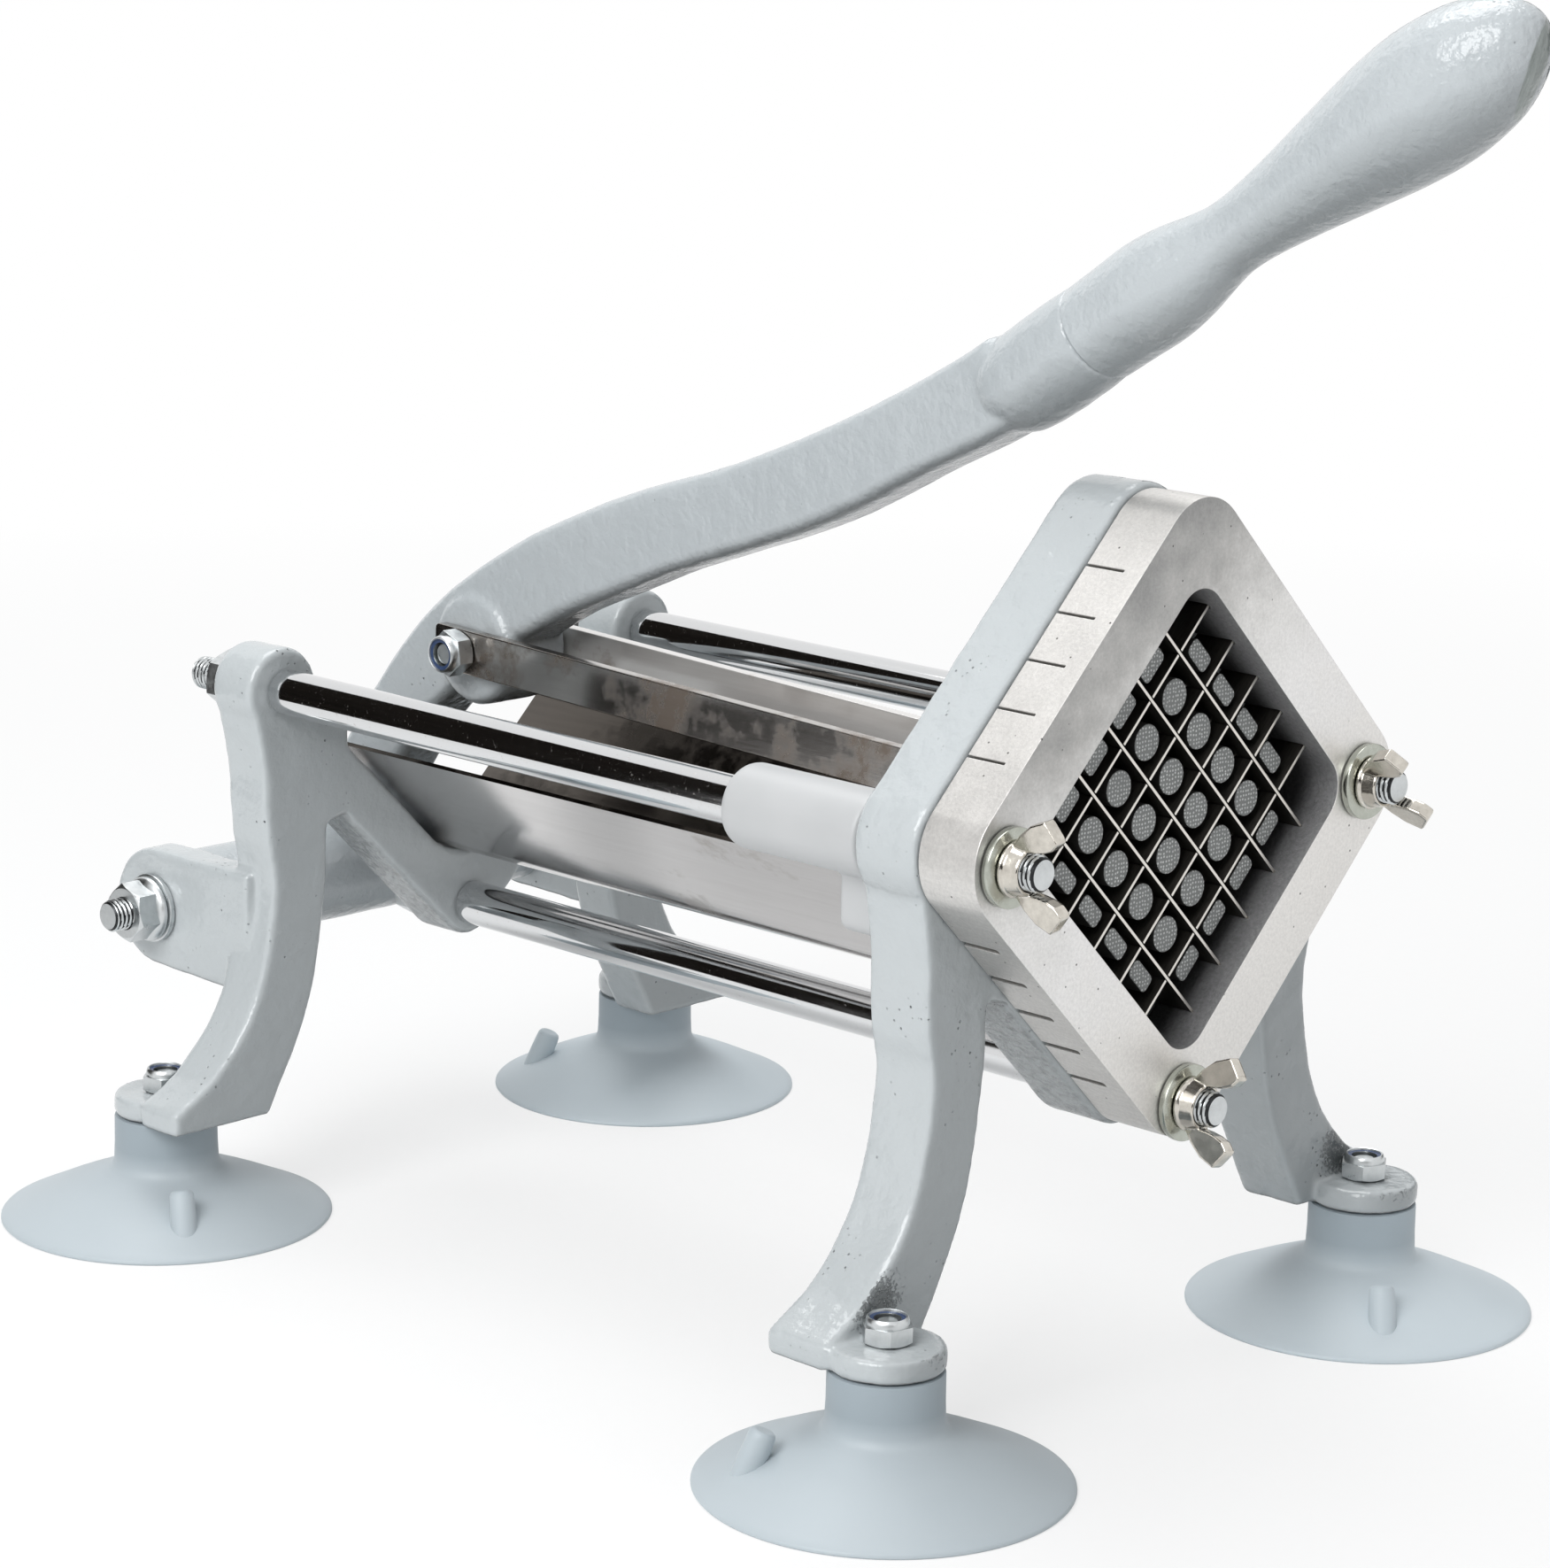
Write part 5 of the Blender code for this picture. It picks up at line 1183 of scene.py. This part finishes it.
pusherSlide = joined("pusherSlide", *chunks)
holes = [drill(shape["rodBore"], 120, side * rodX, 60, middleZ, "y") for side in (-1, 1)]
holes += [drill(boltHole, 30, side * shape["screwX"], middle, middleZ, "y") for side in (-1, 1)]
holes += [drill(boltHole, 60, 0, shape["lugY"], middleZ, "x")]
asCast(pusherSlide, shape["grain"], shape["passes"], holes)
install(pusherSlide, "pusher", slideCoat, "pusher_carriage")

fingerShape = {"tip": 6.4, "back": 34.2, "base": 28.0, "radius": 4.05, "edgeWide": 4.4, "edgeTall": 8.1,
               "edgeOffset": 29.8, "corner": 1.4, "tipRound": 0.4, "pitch": 12.35}
fingerLength = fingerShape["base"] - fingerShape["tip"] + 1


def fingerPattern(edge):
    shape = fingerShape
    if edge:
        half = shape["edgeWide"] / 2
        loop = roundedBox(-half, half, shape["edgeTall"] / 2, shape["corner"], 4)
    else:
        loop = arc(0, 0, shape["radius"], 0, 352.5, 47)
    finger = traced("finger", [loop], fingerLength, shape["tipRound"], "flat", rounds=2)
    return smoothed(finger, 40)


shape = fingerShape
roundFinger, edgeFinger = fingerPattern(False), fingerPattern(True)
pieces = []
blockMiddle = Matrix.Translation(at(0, shape["tip"] + fingerLength / 2, middleZ))
blockTurn = blockMiddle @ spun(45, "Y") @ facing("-y")
for i in range(6):
    for j in range(6):
        a, b = (i - 2.5) * shape["pitch"], (j - 2.5) * shape["pitch"]
        edgeA, edgeB = i in (0, 5), j in (0, 5)
        if edgeA and edgeB:
            continue
        turn = Matrix.Identity(4)
        if edgeA:
            a = math.copysign(shape["edgeOffset"], a)
        elif edgeB:
            b = math.copysign(shape["edgeOffset"], b)
            turn = spun(90)
        spot = Matrix.Translation((a * mm, b * mm, 0)) @ turn
        pieces.append(copied(edgeFinger if edgeA or edgeB else roundFinger, "finger", blockTurn @ spot))
base = traced("base", [diamond(74.0, 16.0, middleZ, 12)], shape["back"] - shape["base"], 0.5, "front",
              (shape["back"] + shape["base"]) / 2)
smoothed(base, 30)
fingerBlock = joined("fingerBlock", base, *pieces)
discard(roundFinger)
discard(edgeFinger)
install(fingerBlock, "pusher", None, "pusher_block")
# only the tips show the casting's own grey; the sides and the base are painted black as painted shade
tipsEnd = faceY + (shape["tip"] + 0.9) * mm
paintWhere(fingerBlock, fingerCast, fingerShade,
           lambda polygon: polygon.center.y >= tipsEnd or polygon.normal.y >= -0.3)

screw = turned("screw", [(0, 30.4), (3.0, 30.4), (3.0, 46.3), (5.2, 46.3), (5.6, 46.7), (5.6, 49.3),
                         (5.2, 49.9), (2.3, 49.9), (2.0, 49.6), (2.0, 47.9), (0, 47.9)], 48)
screwPlaces = [(word, atAxis(side * slideShape["screwX"], 0, middleZ, "y"))
               for side, word in ((-1, "left"), (1, "right"))]
handOut(screw, screwPlaces, "capScrew_", "pusher", zinc, "block_screw_")
print("pusher is made")


# Lever and grip

leverShape = {
    "armHalf": 8.5, "armRound": 3.6, "hubRadius": 12.3, "hubHalf": 56.2, "pivotY": 276.0, "pivotZ": 70.5,
    "crankY": 221.0, "crankZ": 137.0, "bossRadius": 14.0, "bossHalf": 10.0, "grain": 0.8, "passes": 6,
    "seamY": 30.8, "seamZ": 233.7, "slope": 33.1,
    "arm": [(276.0, 70.5, 10.49), (271.59, 86.0, 10.06), (263.49, 102.0, 9.63), (250.01, 119.95, 9.63),
            (238.48, 131.54, 10.49), (226.96, 140.51, 11.23), (213.96, 149.0, 11.23),
            (197.78, 158.14, 11.02), (177.92, 166.79, 11.02), (159.53, 174.13, 10.59),
            (138.93, 180.99, 10.16), (117.11, 188.98, 10.27), (99.21, 196.82, 10.16),
            (81.8, 205.47, 9.74), (62.19, 215.42, 10.06), (51.64, 221.62, 10.16)],
    "neck": [(0, 24), (5.2, 24), (6.0, 23.2), (6.0, 0), (11.0, 0), (11.3, -0.3), (11.6, -6), (11.75, -14),
             (11.6, -21), (11.0, -26), (9.6, -30), (7.0, -33), (3.5, -34.5), (0, -35)],
}


def armLoop(arm):
    line = smoothLine(arm, 6)
    upper, lower = [], []
    for i, (y, z, tall) in enumerate(line):
        before, after = line[max(i - 1, 0)], line[min(i + 1, len(line) - 1)]
        along = Vector((after[0] - before[0], after[1] - before[1])).normalized()
        upper.append((y + along.y * tall, z - along.x * tall))
        lower.append((y - along.y * tall, z + along.x * tall))
    return upper + list(reversed(lower))


def gripPlace(shape):
    return Matrix.Translation(at(0, shape["seamY"], shape["seamZ"])) @ spun(90 - shape["slope"], "X")


def roundBar(name, radius, half, bevel):
    return turned(name, [(0, -half), (radius - bevel, -half), (radius, bevel - half),
                         (radius, half - bevel), (radius - bevel, half), (0, half)], 64)


shape = leverShape
arm = traced("arm", [armLoop(shape["arm"])], 2 * shape["armHalf"], shape["armRound"], "side", 0, rounds=4)
hub = roundBar("hub", shape["hubRadius"], shape["hubHalf"], 1.2)
put(hub, atAxis(0, shape["pivotY"], shape["pivotZ"], "x"))
boss = roundBar("boss", shape["bossRadius"], shape["bossHalf"], 1.6)
put(boss, atAxis(0, shape["crankY"], shape["crankZ"], "x"))
neck = put(turned("neck", shape["neck"], 64), gripPlace(shape))
leverCasting = joined("leverCasting", arm, hub, boss, neck)
holes = [drill(rodHole, 200, 0, shape["pivotY"], shape["pivotZ"], "x"),
         drill(boltHole, 60, 0, shape["crankY"], shape["crankZ"], "x")]
asCast(leverCasting, shape["grain"], shape["passes"], holes, 0.3)
install(leverCasting, "lever", leverEnamel, "lever")

gripShape = {
    "profile": [(128.86, 3.28), (126.13, 6.85), (121.07, 10.43), (114.18, 13.26), (106.13, 14.6),
                (98.59, 14.9), (88.46, 14.08), (75.99, 12.22), (62.87, 10.13), (50.27, 8.49),
                (41.96, 8.12), (35.72, 8.94), (26.89, 10.8), (18.19, 11.77), (8.83, 11.55)],
    "length": 129.9,
}
line = smoothLine([(gripShape["length"], 0.0)] + gripShape["profile"] + [(0.3, 11.35)], 4)
profile = [(radius, along) for along, radius in line]
profile += [(11.0, 0.28), (6.3, 0.28), (6.3, 24.3), (0, 24.3)]
grip = put(turned("handleGrip", profile, 96), gripPlace(leverShape))
smoothed(grip, 40)
install(grip, "lever", gripEnamel, "handle_grip")
print("lever and grip are cast")


# Pivot bolt, its nut and washer

pivotShape = {
    "y": 276.0, "z": 70.5, "tip": 80.6, "across": 13.0, "nutHeight": 7.6, "nutTurn": 12,
    "washer": (8.6, 4.3, 1.4),
    "bar": [(0, -68), (3.5, -68), (3.5, 66.3), (7.9, 66.3), (8.1, 66.5), (8.1, 67.4), (7.2, 68.0),
            (6.4, 68.3), (0, 68.3)],
    "flange": [(4.15, 0), (7.7, 0), (8.1, 0.3), (8.1, 1.0), (7.7, 1.6), (6.6, 2.3), (4.15, 2.3),
               (4.15, 0)],
}
shape = pivotShape
boltBar = turned("bar", shape["bar"])
boltHead = hexBlank("head", shape["across"], 67.5, 72.4, 0)
boltTip = threaded("tip", 4.0, 1.25, -shape["tip"], -60, 0.8)
boltMiddle = turned("middle", [(0, -61), (4.0, -61), (4.0, 66.4), (0, 66.4)])
for piece in (boltBar, boltHead, boltMiddle):
    paint(piece, zinc)
pivotBolt = joined("pivotBoltPiece", boltBar, boltHead, boltTip, boltMiddle)
put(pivotBolt, atAxis(0, shape["y"], shape["z"], "x"))
install(pivotBolt, "base", None, "pivot_bolt")
nutHex = hexBlank("nutHex", shape["across"], 1.2, shape["nutHeight"], 4.15)
nutFlange = turned("nutFlange", shape["flange"], 64)
pivotNut = joined("pivotNutPiece", nutHex, nutFlange)
put(pivotNut, atAxis(-68.0, shape["y"], shape["z"], "-x") @ spun(shape["nutTurn"]))
install(pivotNut, "base", zinc, "pivot_nut")
pivotWasher = washerPiece("pivotWasherPiece", *shape["washer"])
put(pivotWasher, atAxis(-67.0, shape["y"], shape["z"], "x"))
install(pivotWasher, "base", zinc, "pivot_washer")
print("pivot is fitted")


# Links and their bolts

linkShape = {
    "length": 157.1, "slope": 2.006, "thick": 3.0, "half": 5.5, "end": 9.5, "corner": 1.2, "offset": 11.8,
    "rearY": 221.0, "rearZ": 137.0, "frontY": 64.0, "across": 10.0, "headLow": 13.6, "headHigh": 17.6,
    "pin": [(0, 13.6), (3.0, 13.6), (3.0, -17.6), (2.7, -18.2), (2.4, -18.7), (0, -18.7)],
    "stub": [(0, 10.3), (3.0, 10.3), (3.0, 14.0), (0, 14.0)],
}
shape = linkShape
outline = roundedBox(-shape["length"] - shape["end"], shape["end"], shape["half"], shape["corner"], 5)
linkLoops = [outline] + [arc(x, 0, boltHole, 0, 352, 44) for x in (0, -shape["length"])]
# the right link gets the lighter copy of the steel: painted light
for side, word, look in ((-1, "left", linkSteel), (1, "right", linkSteelLit)):
    bar = traced("linkBar_" + word, linkLoops, shape["thick"], 0.3, "flat")
    place = Matrix.Translation(at(side * shape["offset"], shape["rearY"], shape["rearZ"]))
    put(bar, place @ spun(shape["slope"], "X") @ facing("x"))
    smoothed(bar, 30)
    modify(bar, "WEIGHTED_NORMAL", keep_sharp=True)
    install(bar, "links", look, "link_" + word)
linkPin = turned("pin", shape["pin"], 40)
linkHead = hexBlank("pinHead", shape["across"], shape["headLow"], shape["headHigh"], 0)
linkBolt = put(joined("linkBoltPiece", linkPin, linkHead), atAxis(0, shape["rearY"], shape["rearZ"], "x"))
install(linkBolt, "links", zinc, "link_bolt")
linkNut = lockNut("linkNutPiece", shape["across"], 6.6, 3.0)
put(linkNut, atAxis(-shape["headLow"], shape["rearY"], shape["rearZ"], "-x") @ spun(10))
install(linkNut, "links", None, "link_nut")
for axis, word, node in (("x", "frontHead", "link_head_front"), ("-x", "frontNut", "link_nut_front")):
    capHex = hexBlank("capHex", shape["across"], shape["headLow"], shape["headHigh"], 0)
    cap = joined(word + "Piece", capHex, turned("stub", shape["stub"], 40))
    put(cap, atAxis(0, shape["frontY"], middleZ, axis))
    install(cap, "links", zinc, node)
print("links are fitted")


# Suction cups and their studs

cupShape = {
    "radius": 40.5, "tabPlace": 29.0, "tabLean": -22.0,
    "turns": {"front_left": 147.0, "front_right": 228.0, "rear_left": 240.0, "rear_right": 132.0},
    "profile": [(0, 15.1), (3.3, 15.1), (3.3, 25.9), (11.9, 25.9), (12.35, 25.7), (12.5, 25.2),
                (12.55, 19.0), (12.75, 14.6), (13.3, 13.1), (14.4, 12.2), (16.4, 11.3), (19.0, 10.2),
                (22.5, 8.9), (26.0, 7.5), (29.5, 6.0), (33.0, 4.4), (36.0, 3.0), (38.5, 1.9),
                (40.1, 1.15), (40.45, 0.75), (40.5, 0.35), (40.2, 0.02), (38.4, 0.0), (35.5, 0.9),
                (31.1, 2.3), (24.6, 5.3), (19.0, 7.7), (10.0, 7.9), (0, 7.9)],
    "tab": [(0, -4.0), (3.2, -4.0), (3.15, 2.0), (3.0, 6.6), (2.9, 7.6), (2.6, 8.2), (2.1, 8.5),
            (1.5, 8.45), (0, 8.4)],
}


def suctionCup(word, x, y):
    shape = cupShape
    dome = turned("dome", shape["profile"], 96)
    heading = math.radians(shape["turns"][word])
    spotZ = 1.1 + 11.5 * (shape["radius"] - shape["tabPlace"]) / 28.0
    tab = turned("tab", shape["tab"], 40)
    lean = spun(shape["turns"][word]) @ spun(shape["tabLean"], "Y")
    out = Vector((math.cos(heading), math.sin(heading), 0)) * shape["tabPlace"] * mm
    put(tab, Matrix.Translation(out + Vector((0, 0, spotZ * mm))) @ lean)
    cup = joined("suctionCup_" + word, dome, tab)
    put(cup, Matrix.Translation(at(x, y, 0)))
    install(cup, "base", rubber, "suction_cup_" + word)
    stud = threaded("cupStud_" + word, 2.95, 1.0, 15.4, 36.1, 0.8, 28)
    put(stud, Matrix.Translation(at(x, y, 0)))
    install(stud, "base", None, "cup_stud_" + word)


for word, x, y in footSpots:
    suctionCup(word, x, y)
paint(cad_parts["lug_pin"], zinc)
print("cups are moulded")
